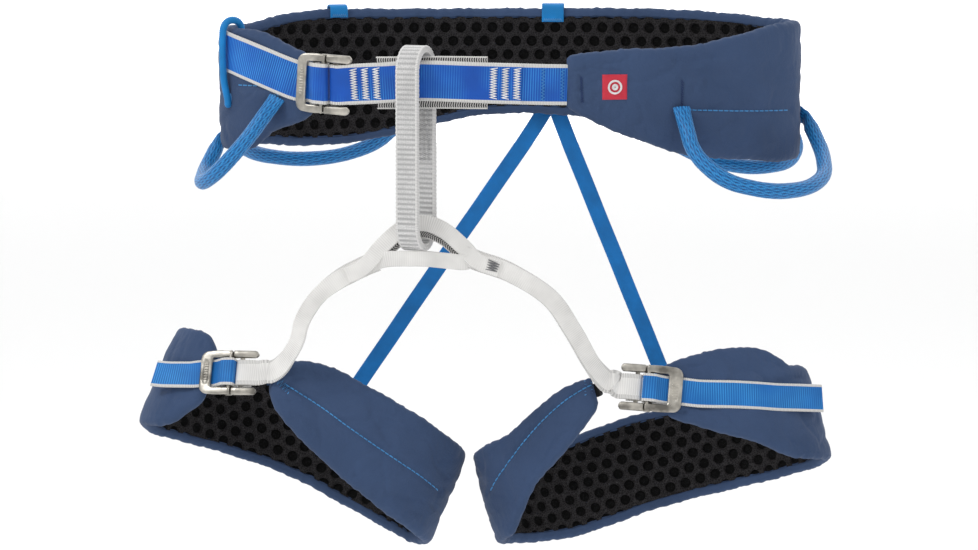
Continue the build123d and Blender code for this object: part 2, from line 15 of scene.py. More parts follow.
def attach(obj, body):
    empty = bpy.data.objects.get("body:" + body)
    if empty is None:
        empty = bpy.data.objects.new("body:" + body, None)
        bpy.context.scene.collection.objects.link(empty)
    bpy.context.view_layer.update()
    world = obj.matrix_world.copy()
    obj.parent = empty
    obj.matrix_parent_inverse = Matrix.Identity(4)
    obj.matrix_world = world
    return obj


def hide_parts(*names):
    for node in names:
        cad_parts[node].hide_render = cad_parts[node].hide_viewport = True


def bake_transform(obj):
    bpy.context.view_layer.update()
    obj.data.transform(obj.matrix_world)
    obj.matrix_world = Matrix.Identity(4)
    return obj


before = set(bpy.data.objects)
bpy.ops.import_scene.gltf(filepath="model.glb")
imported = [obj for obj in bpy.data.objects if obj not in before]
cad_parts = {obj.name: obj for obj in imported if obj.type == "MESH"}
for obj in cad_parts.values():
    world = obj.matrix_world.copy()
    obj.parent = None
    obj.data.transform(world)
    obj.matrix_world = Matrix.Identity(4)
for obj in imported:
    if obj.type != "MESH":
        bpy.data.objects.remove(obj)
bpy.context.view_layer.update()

MM = 0.001
UP = np.array([0.0, 0.0, 1.0])


# ---- numbers and curves -------------------------------------------------------------------
def vec(*values):
    """A float array from numbers or from one sequence."""
    return np.array(values[0] if len(values) == 1 else values, float)


def unit(v):
    """Unit vectors along the last axis."""
    v = np.asarray(v, float)
    return v / np.maximum(np.linalg.norm(v, axis=-1, keepdims=True), 1e-9)


def smooth_route(points, steps):
    """The route the design's webbing follows: a smooth curve through every point."""
    known = np.array([vec(p) for p in points])
    padded = np.vstack([2 * known[0] - known[1], known, 2 * known[-1] - known[-2]])
    t = np.linspace(0, 1, steps, endpoint=False)[:, None]
    curve = []
    for before, start, end, after in zip(padded, padded[1:], padded[2:], padded[3:]):
        even = 2 * start + (end - before) * t
        even = even + (2 * before - 5 * start + 4 * end - after) * t**2
        even = even + (3 * start - before - 3 * end + after) * t**3
        curve.append(even / 2)
    return np.vstack(curve + [known[-1:]])


def lengths_along(points):
    """Distance from the first point to each point."""
    return np.concatenate([[0], np.cumsum(np.linalg.norm(np.diff(points, axis=0), axis=1))])


def resample(points, pitch, *others):
    """Points every pitch along a polyline, and the other rows read at the same places."""
    along = lengths_along(points)
    count = max(2, int(round(along[-1] / pitch)) + 1)
    at = np.linspace(0, along[-1], count)
    read = [np.stack([np.interp(at, along, column) for column in rows.T], 1) for rows in (points, *others)]
    return read, at


def spline_through(points, samples=240):
    """A natural cubic through (x, z) points, sampled along its chord length."""
    known = np.array(points, float)
    knots = lengths_along(known)
    count = len(known)
    h = np.diff(knots)
    system = np.eye(count)
    right = np.zeros((count, 2))
    for i in range(1, count - 1):
        system[i, i - 1:i + 2] = h[i - 1], 2 * (h[i - 1] + h[i]), h[i]
        right[i] = 6 * ((known[i + 1] - known[i]) / h[i] - (known[i] - known[i - 1]) / h[i - 1])
    bend = np.linalg.solve(system, right)
    at = np.linspace(0, knots[-1], samples)
    i = np.clip(np.searchsorted(knots, at, side="right") - 1, 0, count - 2)
    t0, t1, step = (at - knots[i])[:, None], (knots[i + 1] - at)[:, None], h[i][:, None]
    low, high = known[i], known[i + 1]
    curve = (bend[i] * t1**3 + bend[i + 1] * t0**3) / (6 * step)
    return curve + (low / step - bend[i] * step / 6) * t1 + (high / step - bend[i + 1] * step / 6) * t0


def wobble(*coordinates, seed=0.0):
    """Smooth wandering from -1 to 1, the same every run."""
    total = 0.0
    for k, c in enumerate(coordinates):
        total = total + np.sin(c * (1.0 + 0.31 * k) + seed) * np.cos(c * 0.57 + 1.7 * seed + k)
    return total / len(coordinates)


def soft_noise(u, v, seed):
    """Smooth random values from 0 to 1 over a plane, one hill per unit."""
    size = 64
    table = np.random.default_rng(seed).random((size, size))
    column, row = np.floor(u).astype(int), np.floor(v).astype(int)
    fu, fv = u - column, v - row
    fu, fv = fu * fu * (3 - 2 * fu), fv * fv * (3 - 2 * fv)
    near, far = column % size, (column + 1) % size
    edges = (row % size, (row + 1) % size)
    low, high = (table[near, edge] * (1 - fu) + table[far, edge] * fu for edge in edges)
    return low * (1 - fv) + high * fv


# ---- meshes -------------------------------------------------------------------------------
def make_piece(name, points, faces, materials, face_material, attributes):
    """A mesh object from millimetre points; attributes are one number per point, by name."""
    mesh = bpy.data.meshes.new(name)
    mesh.from_pydata((np.asarray(points, float) * MM).tolist(), [], faces)
    for item in materials:
        mesh.materials.append(item)
    mesh.polygons.foreach_set("material_index", np.asarray(face_material, np.int32))
    for key, values in attributes.items():
        layer = mesh.attributes.new(key, "FLOAT", "POINT")
        layer.data.foreach_set("value", np.asarray(values, np.float32).ravel())
    mesh.polygons.foreach_set("use_smooth", [True] * len(mesh.polygons))
    mesh.validate()
    mesh.update()
    piece = bpy.data.objects.new(name, mesh)
    bpy.context.scene.collection.objects.link(piece)
    return piece


def grid_faces(rows, columns, wrap_rows=False, wrap_columns=False):
    """Quads of a grid whose point (i, j) is number i * columns + j."""
    i = np.arange(rows if wrap_rows else rows - 1)
    j = np.arange(columns if wrap_columns else columns - 1)
    ii, jj = np.meshgrid(i, j, indexing="ij")
    a = ii * columns + jj
    b = ((ii + 1) % rows) * columns + jj
    c = ((ii + 1) % rows) * columns + (jj + 1) % columns
    d = ii * columns + (jj + 1) % columns
    return np.stack([a, b, c, d], -1).reshape(-1, 4).tolist()


def capped_faces(rows, columns):
    """Quads of a sleeve made of rings of points, and a face over each end."""
    ends = [list(range(columns))[::-1], [(rows - 1) * columns + i for i in range(columns)]]
    return grid_faces(rows, columns, wrap_columns=True) + ends


class Mesher:
    """Collects several parts of one piece before it becomes a mesh."""

    def __init__(self):
        self.points, self.faces, self.kinds, self.values = [], [], [], {}
        self.count = 0

    def add(self, points, faces, kind=0, **values):
        """Adds a part; kind is its material's number, and values are numbers for its points."""
        points = np.asarray(points, float).reshape(-1, 3)
        self.faces += [[corner + self.count for corner in face] for face in faces]
        self.kinds += [kind] * len(faces)
        self.points.append(points)
        for key in set(self.values) | set(values):
            known = self.values.setdefault(key, [np.zeros(self.count)])
            known.append(np.broadcast_to(np.asarray(values.get(key, 0.0), float).ravel(), len(points)).copy())
        self.count += len(points)

    def make(self, name, *materials):
        attributes = {key: np.concatenate(rows) for key, rows in self.values.items()}
        return make_piece(name, np.vstack(self.points), self.faces, materials, self.kinds, attributes)


def frames_along(route, hint):
    """Tangent, side and lift at each point; hint is the side's rough direction."""
    ahead = unit(np.gradient(route, axis=0))
    hint = np.broadcast_to(np.asarray(hint, float), route.shape)
    side = unit(hint - ahead * np.sum(hint * ahead, 1, keepdims=True))
    return ahead, side, np.cross(ahead, side)


DOME = np.array([0.0, 0.45, 0.8])


def tube(mesher, route, radius, around=6, hint=(0.31, 0.57, 0.76), kind=0):
    """A round rod along a route, its ends closed by slightly flat domes."""
    route = np.asarray(route, float)
    ahead, side, lift = frames_along(route, hint)
    radii = np.broadcast_to(np.asarray(radius, float), len(route)).copy()
    reach = 0.9 * np.sqrt(1 - DOME**2)[:, None]
    start = route[0] - ahead[0] * radii[0] * reach
    end = route[-1] + ahead[-1] * radii[-1] * reach[::-1]
    route = np.vstack([start, route, end])
    radii = np.concatenate([radii[0] * DOME, radii, radii[-1] * DOME[::-1]])
    extra = len(DOME)
    side, lift = (np.vstack([rows[:1]] * extra + [rows] + [rows[-1:]] * extra) for rows in (side, lift))
    turn = np.linspace(0, 2 * math.pi, around, endpoint=False)
    ring = np.cos(turn)[None, :, None] * side[:, None] + np.sin(turn)[None, :, None] * lift[:, None]
    points = route[:, None] + ring * radii[:, None, None]
    along = np.repeat(lengths_along(route), around)
    mesher.add(points, grid_faces(len(route), around, wrap_columns=True), kind, along=along)


# ---- materials ----------------------------------------------------------------------------
class Nodes:
    """Short calls for building a material's nodes."""

    def __init__(self, name, colour, roughness, **sockets):
        self.material = bpy.data.materials.new(name)
        self.material.use_nodes = True
        self.tree = self.material.node_tree
        self.shader = self.tree.nodes["Principled BSDF"]
        self.shader.inputs["Base Color"].default_value = (*colour, 1)
        self.shader.inputs["Roughness"].default_value = roughness
        for key, value in sockets.items():
            self.shader.inputs[key.replace("_", " ")].default_value = value
        self.material.diffuse_color = (*colour, 1)

    def feed(self, socket, value):
        """Links a socket to another one, or sets its value."""
        if isinstance(value, bpy.types.NodeSocket):
            self.tree.links.new(value, socket)
        else:
            socket.default_value = value

    def add(self, kind, settings=None, **inputs):
        """A new node; inputs are given by label, or as i0, i1 and so on by number."""
        made = self.tree.nodes.new(kind)
        for key, value in (settings or {}).items():
            setattr(made, key, value)
        for key, value in inputs.items():
            numbered = key[0] == "i" and key[1:].isdigit()
            self.feed(made.inputs[int(key[1:]) if numbered else key.replace("_", " ")], value)
        return made

    def math(self, operation, a, b=0.0, c=0.0):
        return self.add("ShaderNodeMath", {"operation": operation}, i0=a, i1=b, i2=c).outputs[0]

    def sine(self, distance, pitch):
        """A wave from -1 to 1 along a distance."""
        return self.math("SINE", self.math("MULTIPLY", distance, 2 * math.pi / pitch))

    def ripple(self, distance, pitch):
        """A wave from 0 to 1 along a distance."""
        wave = self.math("COSINE", self.math("MULTIPLY", distance, 2 * math.pi / pitch))
        return self.math("MULTIPLY_ADD", wave, 0.5, 0.5)

    def place(self):
        """Position on the resting object, in metres."""
        return self.add("ShaderNodeTexCoord").outputs["Object"]

    def value(self, name):
        """A number carried by the mesh."""
        return self.add("ShaderNodeAttribute", {"attribute_name": name}).outputs["Fac"]

    def noise(self, scale, detail=3.0, **settings):
        settings = {"Roughness": 0.55, **settings}
        made = self.add("ShaderNodeTexNoise", Scale=scale, Detail=detail, Vector=self.place(), **settings)
        return made.outputs["Fac"]

    def cells(self, scale, feature="F1"):
        """Distances inside small scattered cells."""
        made = self.add("ShaderNodeTexVoronoi", {"feature": feature}, Scale=scale, Vector=self.place())
        return made.outputs["Distance"]

    def ramp(self, factor, *stops):
        """A colour read from (place, colour) stops."""
        made = self.add("ShaderNodeValToRGB", Fac=factor)
        elements = made.color_ramp.elements
        while len(elements) < len(stops):
            elements.new(0.5)
        for element, (at, colour) in zip(elements, stops):
            element.position = at
            element.color = (*colour, 1)
        return made.outputs["Color"]

    def mix(self, factor, a, b):
        """One colour laid over another by a factor from 0 to 1."""
        made = self.add("ShaderNodeMix", {"data_type": "RGBA"})
        for number, value in ((0, factor), (6, a), (7, b)):
            plain = isinstance(value, (float, bpy.types.NodeSocket))
            self.feed(made.inputs[number], value if plain else (*value, 1))
        return made.outputs[2]

    def colour(self, socket):
        self.tree.links.new(socket, self.shader.inputs["Base Color"])

    def rough(self, socket):
        self.tree.links.new(socket, self.shader.inputs["Roughness"])

    def bump(self, height, strength, distance):
        """Relief on top of any that is there already; distance is its depth in metres."""
        made = self.add("ShaderNodeBump", Height=height, Strength=strength, Distance=distance)
        before = self.shader.inputs["Normal"].links
        if before:
            self.tree.links.new(before[0].from_socket, made.inputs["Normal"])
        self.tree.links.new(made.outputs["Normal"], self.shader.inputs["Normal"])


def shade(colour, factor):
    """A colour made darker or lighter."""
    return tuple(min(1.0, c * factor) for c in colour)


def grey(level):
    """A grey of a given brightness."""
    return (level,) * 3


DARK, LIGHT = grey(0), grey(1)
SLATE = (0.040, 0.070, 0.146)
ROYAL = (0.001, 0.080, 0.44)
LEG_ROYAL = (0.003, 0.13, 0.44)
ROYAL_PAINTED_HIGHLIGHT = (0.05, 0.36, 0.78)
RISER_BLUE = (0.001, 0.155, 0.47)
CORD_BLUE = (0.001, 0.105, 0.34)
CORD_PAINTED_HIGHLIGHT = (0.03, 0.30, 0.68)
CYAN = (0.002, 0.21, 0.56)
WHITE = (0.74, 0.73, 0.71)
BLACK = (0.010, 0.009, 0.010)
STEEL = (0.40, 0.38, 0.34)
RED = (0.62, 0.022, 0.05)


def slate_material():
    """Brushed nylon: soft tone changes, a fine weave, small creases and a faint sheen."""
    n = Nodes("slate_fabric", SLATE, 0.82, Sheen_Weight=0.08, Sheen_Roughness=0.5, Specular_IOR_Level=0.2)
    tone = n.ramp(n.noise(16, 4), (0.3, shade(SLATE, 0.78)), (0.7, shade(SLATE, 1.08)))
    n.colour(n.mix(n.math("MULTIPLY", n.noise(1100, 2), 0.25), tone, shade(SLATE, 1.5)))
    n.bump(n.cells(1500.0), 0.4, 0.0003)
    n.bump(n.noise(42, 5, Roughness=0.6, Distortion=1.4), 0.55, 0.0022)
    n.bump(n.noise(190, 3), 0.3, 0.0006)
    n.rough(n.ramp(n.noise(60, 3), (0.2, grey(0.72)), (0.8, grey(0.92))))
    return n.material


def mesh_material():
    """Black spacer mesh: fine netting, with small grey painted highlights in patches."""
    n = Nodes("black_mesh", BLACK, 0.75, Specular_IOR_Level=0.18)
    edge = n.cells(620.0, "DISTANCE_TO_EDGE")
    net = n.ramp(edge, (0.03, (0.030, 0.028, 0.030)), (0.16, shade(BLACK, 0.7)))
    patches = n.ramp(n.noise(30, 2), (0.5, DARK), (0.68, LIGHT))
    # painted highlights: small grey dots of light in the colour, shown in patches
    painted_glints = n.ramp(n.cells(900.0), (0.10, (0.30, 0.29, 0.30)), (0.2, shade(BLACK, 0.7)))
    n.colour(n.mix(n.math("MULTIPLY", patches, 0.45), net, painted_glints))
    n.bump(n.ramp(edge, (0.0, LIGHT), (0.25, DARK)), 0.5, 0.0004)
    return n.material


def foam_material():
    """Black foam seen through the holes of the lining."""
    n = Nodes("black_foam", grey(0.004), 0.9, Specular_IOR_Level=0.15)
    cells = n.cells(700.0)
    n.colour(n.ramp(cells, (0.1, (0.012, 0.012, 0.013)), (0.5, grey(0.003))))
    n.bump(cells, 0.4, 0.0004)
    return n.material


SLATE_FABRIC = slate_material()
BLACK_MESH = mesh_material()
BLACK_FOAM = foam_material()


# ---- pads ---------------------------------------------------------------------------------
RIM = 7.0  # fabric folded over each edge
LIP = 1.2  # rise of that fold's free edge
BED_SINK = 2.2  # depth of the foam bed that shows through the lining
SHELL_STEP = 2.0
FACE_ROWS = 37
HELD_BY_SEAM = 1.6  # fabric this near a seam stays put


class Pad:
    """A padded ring: an elliptical wall in its own plane with a front opening."""

    def __init__(self, name, origin, slant, tilt, size, wall, outlines):
        self.name, self.size, self.wall = name, size, wall
        slant, tilt = math.radians(slant), math.radians(tilt)
        self.origin = vec(origin)
        self.x = vec(math.cos(slant), 0, math.sin(slant))
        rise = vec(-math.sin(slant), 0, math.cos(slant))
        self.y = vec(0, 1, 0) * math.cos(tilt) - rise * math.sin(tilt)
        self.z = np.cross(self.x, self.y)
        self.curves = {side: [spline_through(edge) for edge in edges] for side, edges in outlines.items()}
        right, left = outlines["right_wing"][0][0][0], outlines["left_wing"][0][0][0]
        self.start = -math.acos(right / size[0])
        self.end = 2 * math.pi - math.acos(left / size[0])
        turns = np.linspace(self.start, self.end, 2001)
        outer = np.stack([size[0] * np.cos(turns), size[1] * np.sin(turns)], 1)
        self.turns, self.girth = turns, lengths_along(outer)
        self.length = self.girth[-1]

    def turn(self, s):
        """Ring angle at a length along the ring from its right front end."""
        return np.interp(s, self.girth, self.turns)

    def edges(self, s):
        """Heights of the top and low edges at lengths along the ring."""
        turn = self.turn(s)
        x = self.size[0] * np.cos(turn)
        heights = []
        for edge in (0, 1):
            at = {}
            for side, curves in self.curves.items():
                curve = curves[edge][np.argsort(curves[edge][:, 0])]
                at[side] = np.interp(x, curve[:, 0], curve[:, 1])
            wing = np.where(turn < math.pi / 2, at["right_wing"], at["left_wing"])
            heights.append(np.where(np.sin(turn) < 0, wing, at["back"]))
        return heights

    def local(self, points):
        """Points of the pad's own plane, in the harness frame."""
        points = np.asarray(points, float)
        return self.origin + points[..., :1] * self.x + points[..., 1:2] * self.y + points[..., 2:] * self.z

    def at(self, s, depth, z):
        """A place a given depth inside the outer surface."""
        turn, depth, z = np.broadcast_arrays(self.turn(s), depth, z)
        flat = np.stack([(self.size[0] - depth) * np.cos(turn), (self.size[1] - depth) * np.sin(turn), z], -1)
        return self.local(flat)

    def outward(self, s):
        """Outward directions at lengths along the ring."""
        turn = self.turn(s)
        flat = np.stack([np.cos(turn) / self.size[0], np.sin(turn) / self.size[1], 0 * turn], -1)
        return unit(flat[..., :1] * self.x + flat[..., 1:2] * self.y)

    def s_at(self, x):
        """Length along the ring where the front of the wall passes a given x."""
        turn = -math.acos(max(-1.0, min(1.0, x / self.size[0])))
        on_right = turn >= self.start and x > self.size[0] * math.cos(self.start) - 1
        return float(np.interp(turn if on_right else turn + 2 * math.pi, self.turns, self.girth))


# outlines are (x, z) places in the pad's plane: the top edge, then the low edge
PADS = {
    "waistbelt": Pad("waistbelt", (0, 0, 0), 0, 0, (205.0, 78.0), 9.0, {
        "back": (
            [(-192, 45), (-160, 52), (-110, 54), (32, 54), (138, 53), (170, 51), (192, 49)],
            [(-192, -41), (-150, -45), (-84, -38), (-30, -26), (30, -24), (90, -31), (150, -44), (192, -49)],
        ),
        "right_wing": (
            [(39, 29), (75, 33), (125, 35), (162, 42), (192, 49)],
            [(39, -7), (62, -19), (90, -30), (125, -41), (160, -45), (192, -49)],
        ),
        "left_wing": (
            [(-140, 28), (-156, 34), (-172, 42), (-192, 45)],
            [(-140, -13), (-155, -21), (-172, -28), (-184, -38), (-192, -41)],
        ),
    }),
    "leg_right": Pad("leg_right", (103, -5, -268), 16.3, 20, (124.0, 62.0), 7.5, {
        "back": (
            [(-114, 42), (-70, 41), (-30, 45), (0, 46), (50, 41), (114, 37)],
            [(-114, -26), (-76, -30), (-17, -26), (41, -27), (80, -30), (114, -33)],
        ),
        "right_wing": (
            [(20, 53), (36, 57), (60, 58), (84, 56), (102, 49), (114, 37)],
            [(20, 19), (52, 0), (82, -17), (102, -30), (114, -33)],
        ),
        "left_wing": (
            [(-26, 63), (-50, 60), (-75, 51), (-96, 43), (-114, 42)],
            [(-26, 41), (-44, 27), (-65, 14), (-89, 0), (-104, -15), (-114, -26)],
        ),
    }),
    "leg_left": Pad("leg_left", (-148.5, -5, -250), -23, 20, (113.0, 60.0), 7.5, {
        "back": (
            [(-103, 39), (-50, 40), (0, 41), (50, 40), (103, 36)],
            [(-103, -36), (-82, -31), (-46, -25), (5, -22), (49, -27), (75, -31), (103, -37)],
        ),
        "right_wing": (
            [(-38, 34), (-20, 43), (23, 44), (60, 41), (103, 36)],
            [(-38, 14), (-28, 3), (-10, -7), (18, -18), (48, -27), (80, -34), (103, -37)],
        ),
        "left_wing": (
            [(-78, 20), (-86, 31), (-95, 38), (-103, 39)],
            [(-78, -9), (-88, -23), (-96, -33), (-103, -36)],
        ),
    }),
}


def seam_points(places):
    """Places every millimetre and a half along a seam given as (x, z) points."""
    line = spline_through(places, 200)
    along = lengths_along(line)
    at = np.linspace(0, along[-1], int(along[-1] / 1.5) + 2)
    return np.stack([np.interp(at, along, line[:, 0]), np.interp(at, along, line[:, 1])], 1)


SEAMS = {
    "waistbelt": [
        [(122, -9.2), (160, -11), (196, -12.6)],
        [(-190, 5.5), (-166, 6)],
        [(48.1, 14.5), (48.9, -3.0)],
        [(118.2, 11), (118.2, -9)],
    ],
    "leg_left": [[(-26.5, 21.5), (0, 16.5), (26.5, 10.5), (65, 4), (105, -1.5)]],
    "leg_right": [[(-27.1, 56.5), (-45, 52), (-64.4, 44), (-92, 28), (-120, 8)]],
}


def rim_rows(pad, s, edge, way, angles, gather):
    """Section rows of fabric folded round an edge: way is 1 at the top and -1 at the bottom."""
    half = pad.wall / 2
    pitch, sway, slow, swell = gather
    for angle in angles:
        pucker = 0.6 * np.sin(s * pitch + sway * np.sin(s * slow)) * (0.6 + 0.4 * np.sin(s * swell))
        radius = half + way * pucker * math.sin(angle)
        yield half - radius * math.cos(angle), edge - way * half + radius * math.sin(angle), 0.0


def shell_rows(pad, s, ends, top, low):
    """Rows round the section as (depth, height, how loose): face, top rim, bed and low rim."""
    half = pad.wall / 2
    rows = []
    for t in np.linspace(0, 1, FACE_ROWS):
        puff = 0.7 * math.sin(math.pi * t) ** 0.5
        rows.append((0 * s - puff, low + half + (top - low - 2 * half) * t, 1.0))
    rows += rim_rows(pad, s, top, 1, np.linspace(0, math.pi, 8)[1:], (1.25, 2.2, 0.13, 0.21))
    bed = np.where(ends < RIM, 0.0, BED_SINK)
    lip, inside = pad.wall + 0.25, pad.wall - 0.2
    rows.append((lip, top - RIM + LIP, 0.0))
    rows.append((inside - bed * 0.3, top - RIM, 0.0))
    for t in (0.03, 0.35, 0.65, 0.97):
        rows.append((inside - bed, top - RIM + (low - top + 2 * RIM) * t, -1.0))
    rows.append((inside - bed * 0.3, low + RIM, 0.0))
    rows.append((lip, low + RIM - LIP, 0.0))
    rows += rim_rows(pad, s, low, -1, np.linspace(math.pi, 2 * math.pi, 8)[:-1], (1.18, 2.0, 0.11, 0.17))
    return rows


def wrinkles(u, v, rim_away, ends):
    """How far the face stands out: soft dents, thin wandering creases, gathers from the rims."""
    warp = soft_noise(u / 30, v / 30, 5) * 1.6
    dents = soft_noise(u / 21 + warp, v / 17, 11) - 0.5
    crease = np.exp(-(((soft_noise(u / 34 + warp, v / 15 + warp, 3) - 0.5) / 0.045) ** 2))
    second = np.exp(-(((soft_noise(u / 17 - warp, v / 24 + warp, 8) - 0.5) / 0.04) ** 2))
    gathers = np.sin(u * 1.22 + 2.1 * np.sin(u * 0.12)) * np.exp(-np.clip(rim_away, 0, 60) / 6.0)
    fade = np.clip(rim_away / 4, 0.25, 1) * np.clip(ends / 12, 0, 1)[None, :]
    return (1.9 * dents - 1.0 * crease - 0.7 * second + 0.55 * gathers) * fade


def pad_shell(pad):
    """The fabric of a pad: outer face, folded rims and the black bed that the lining covers."""
    columns = int(pad.length / SHELL_STEP)
    s = np.linspace(0, pad.length, columns)
    ends = np.minimum(s, pad.length - s)
    round_end = np.sqrt(np.clip(1 - (1 - np.clip(ends / 5.0, 0, 1)) ** 2, 0, 1))
    top, low = pad.edges(s)
    inset = (1 - round_end) * 2.0
    top = top - inset + 0.5 * wobble(s * 0.42, seed=0.4) + 0.25 * wobble(s * 1.3, seed=2.0)
    low = low + inset + 0.5 * wobble(s * 0.37, seed=1.9) + 0.25 * wobble(s * 1.2, seed=0.9)
    half = pad.wall / 2
    rows = shell_rows(pad, s, ends, top, low)
    depth = np.array([np.broadcast_to(row[0], s.shape) for row in rows])
    depth = half + (depth - half) * round_end
    v = np.array([row[1] for row in rows])
    u = s[None, :] + 0 * v
    loose = np.array([row[2] for row in rows])
    face = (loose > 0)[:, None]
    hold = np.repeat(loose[:, None] <= 0, columns, 1).astype(float)
    hold[:, ends < 4] = 1.0
    bulge = wrinkles(u, v, np.minimum(top[None, :] - v, v - low[None, :]) - half, ends) * face
    for seam in SEAMS[pad.name]:
        line = np.array([(pad.s_at(x), z) for x, z in seam_points(seam)])
        away = np.min(np.hypot(u[..., None] - line[:, 0], v[..., None] - line[:, 1]), axis=-1)
        hold[(away < HELD_BY_SEAM) & face] = 1.0
        tucks = 0.35 * np.sin(u * 1.5 + v * 0.8) * np.exp(-((away - 3.5) / 3.0) ** 2)
        bulge += (tucks - 1.5 * np.exp(-(away / 2.4) ** 2)) * face
    points = pad.at(u, depth, v) + pad.outward(s)[None] * bulge[..., None]
    on_bed = [loose[i] < 0 or loose[(i + 1) % len(rows)] < 0 for i in range(len(rows))]
    inner = np.tile((ends[:-1] >= RIM) & (ends[1:] >= RIM), len(rows))
    kinds = np.repeat(np.array(on_bed, int), columns - 1) * inner
    faces = grid_faces(len(rows), columns, wrap_rows=True)
    materials = [SLATE_FABRIC, BLACK_FOAM]
    return make_piece(f"{pad.name}_fabric", points.reshape(-1, 3), faces, materials, kinds, {}), hold.ravel()


def vertex_rows(mesh, key):
    """A mesh's positions or normals, one row per point."""
    flat = np.zeros(len(mesh.vertices) * 3)
    mesh.vertices.foreach_get(key, flat)
    return flat.reshape(-1, 3)


CLOTH = {
    "quality": 6, "mass": 0.18, "tension_stiffness": 18, "compression_stiffness": 18, "shear_stiffness": 8,
    "bending_stiffness": 0.08, "shrink_min": -0.05, "vertex_group_mass": "hold", "pin_stiffness": 1.0,
    "use_pressure": True, "uniform_pressure_force": 1.6,
}
CLOTH_FRAMES = 16
SINK_CAP, SWELL_CAP, SLIDE_CAP = 0.8 * MM, 2.6 * MM, 1.5 * MM


def settle_fabric(piece, hold):
    """Lets the loose face of a shell wrinkle: it is cut a little large and pressed out from inside."""
    rest, normals = vertex_rows(piece.data, "co"), vertex_rows(piece.data, "normal")
    group = piece.vertex_groups.new(name="hold")
    for index in np.nonzero(hold > 0)[0]:
        group.add([int(index)], 1.0, "REPLACE")
    # a slight uneven start gives the wrinkles somewhere to begin
    seedling = wobble(rest[:, 0] * 190, rest[:, 1] * 170, rest[:, 2] * 260, seed=1.3)
    started = rest + normals * (seedling * (hold <= 0) * 0.0008)[:, None]
    piece.data.vertices.foreach_set("co", started.ravel())
    cloth = piece.modifiers.new("Cloth", "CLOTH")
    for key, value in CLOTH.items():
        setattr(cloth.settings, key, value)
    cloth.settings.effector_weights.gravity = 0
    cloth.collision_settings.use_collision = False
    scene = bpy.context.scene
    for number in range(1, CLOTH_FRAMES + 1):
        scene.frame_set(number)
    graph = bpy.context.evaluated_depsgraph_get()
    moved = vertex_rows(piece.evaluated_get(graph).data, "co") - rest
    piece.modifiers.remove(cloth)
    scene.frame_set(1)
    out = np.sum(moved * normals, 1, keepdims=True)
    slide = moved - out * normals
    slide *= np.minimum(1, SLIDE_CAP / np.maximum(np.linalg.norm(slide, axis=1, keepdims=True), 1e-9))
    shift = np.clip(out, -SINK_CAP, SWELL_CAP) * normals + slide
    piece.data.vertices.foreach_set("co", (rest + np.where(hold[:, None] > 0, 0, shift)).ravel())
    piece.data.update()


def add_subdivision(piece):
    """Rounds a piece's faces; applied at once so that its final mesh is what shows."""
    modifier = piece.modifiers.new("Subdivision", "SUBSURF")
    modifier.levels = modifier.render_levels = 1
    graph = bpy.context.evaluated_depsgraph_get()
    fine = bpy.data.meshes.new_from_object(piece.evaluated_get(graph))
    piece.modifiers.remove(modifier)
    old = piece.data
    piece.data = fine
    fine.name = piece.name
    bpy.data.meshes.remove(old)


CELL, HOLE = 11.4, 3.9  # pitch and radius of the lining's holes
CELL_ROW = CELL * math.sqrt(3) / 2
CORNERS = 12
# rings of one cell from its hexagon to the bottom of its hole: (radius, depth below the face)
CELL_RINGS = [(None, 0.0), (HOLE + 0.75, 0.0), (HOLE + 0.25, 0.18), (HOLE, 0.6), (HOLE - 0.15, 1.9)]


def cell_outline():
    """Flat places and depths of one cell's rings, about its middle."""
    corner = np.linspace(0, 2 * math.pi, CORNERS, endpoint=False) + math.pi / 6
    circle = np.stack([np.cos(corner), np.sin(corner)], 1)
    far = np.where(np.arange(CORNERS) % 2 == 0, CELL / math.sqrt(3), CELL / 2)
    flat = [circle * (far[:, None] if radius is None else radius) for radius, _ in CELL_RINGS]
    return np.vstack(flat), np.repeat([sunk for _, sunk in CELL_RINGS], CORNERS)


def cell_centres(pad, shrink):
    """Middles of the lining's cells, in the lining's own unrolled plane."""
    top, low = pad.edges(np.linspace(0, pad.length, 200))
    lowest = min(low)
    for row in range(int((max(top) - lowest) / CELL_ROW) + 3):
        for column in range(int(pad.length * shrink / CELL) + 3):
            centre = vec((column + (row % 2) / 2) * CELL, lowest - CELL_ROW + row * CELL_ROW)
            s = centre[0] / shrink
            top_here, low_here = (edge[0] for edge in pad.edges(np.array([s])))
            in_reach = RIM - 3 < s < pad.length - RIM + 3
            if in_reach and low_here + RIM - CELL / 2 < centre[1] < top_here - RIM + CELL / 2:
                yield centre


def pad_lining(pad):
    """The lining: a sheet of round holes in a hexagonal lattice, tucked under the folded rim."""
    shrink = 1 - pad.wall / max(pad.size)
    outline, depth = cell_outline()
    tuck = RIM - 0.8
    mesher = Mesher()
    for centre in cell_centres(pad, shrink):
        flat = centre + outline
        s = np.clip(flat[:, 0] / shrink, tuck, pad.length - tuck)
        top, low = pad.edges(s)
        points = pad.at(s, pad.wall + 0.15 - depth, np.clip(flat[:, 1], low + tuck, top - tuck))
        kept = []
        for face in grid_faces(len(CELL_RINGS), CORNERS, wrap_columns=True):
            corners = points[face]
            area = np.linalg.norm(np.cross(corners[2] - corners[0], corners[3] - corners[1]))
            if area > 0.02:
                kept.append(face[::-1])
        if kept:
            mesher.add(points, kept)
    piece = mesher.make(f"{pad.name}_mesh", BLACK_MESH)
    weld(piece, 0.05)
    return piece


def weld(piece, distance):
    """Joins points that meet, and drops loose ones."""
    work = bmesh.new()
    work.from_mesh(piece.data)
    bmesh.ops.remove_doubles(work, verts=work.verts, dist=distance * MM)
    loose = [v for v in work.verts if not v.link_faces]
    bmesh.ops.delete(work, geom=loose, context="VERTS")
    work.to_mesh(piece.data)
    work.free()
    piece.data.polygons.foreach_set("use_smooth", [True] * len(piece.data.polygons))


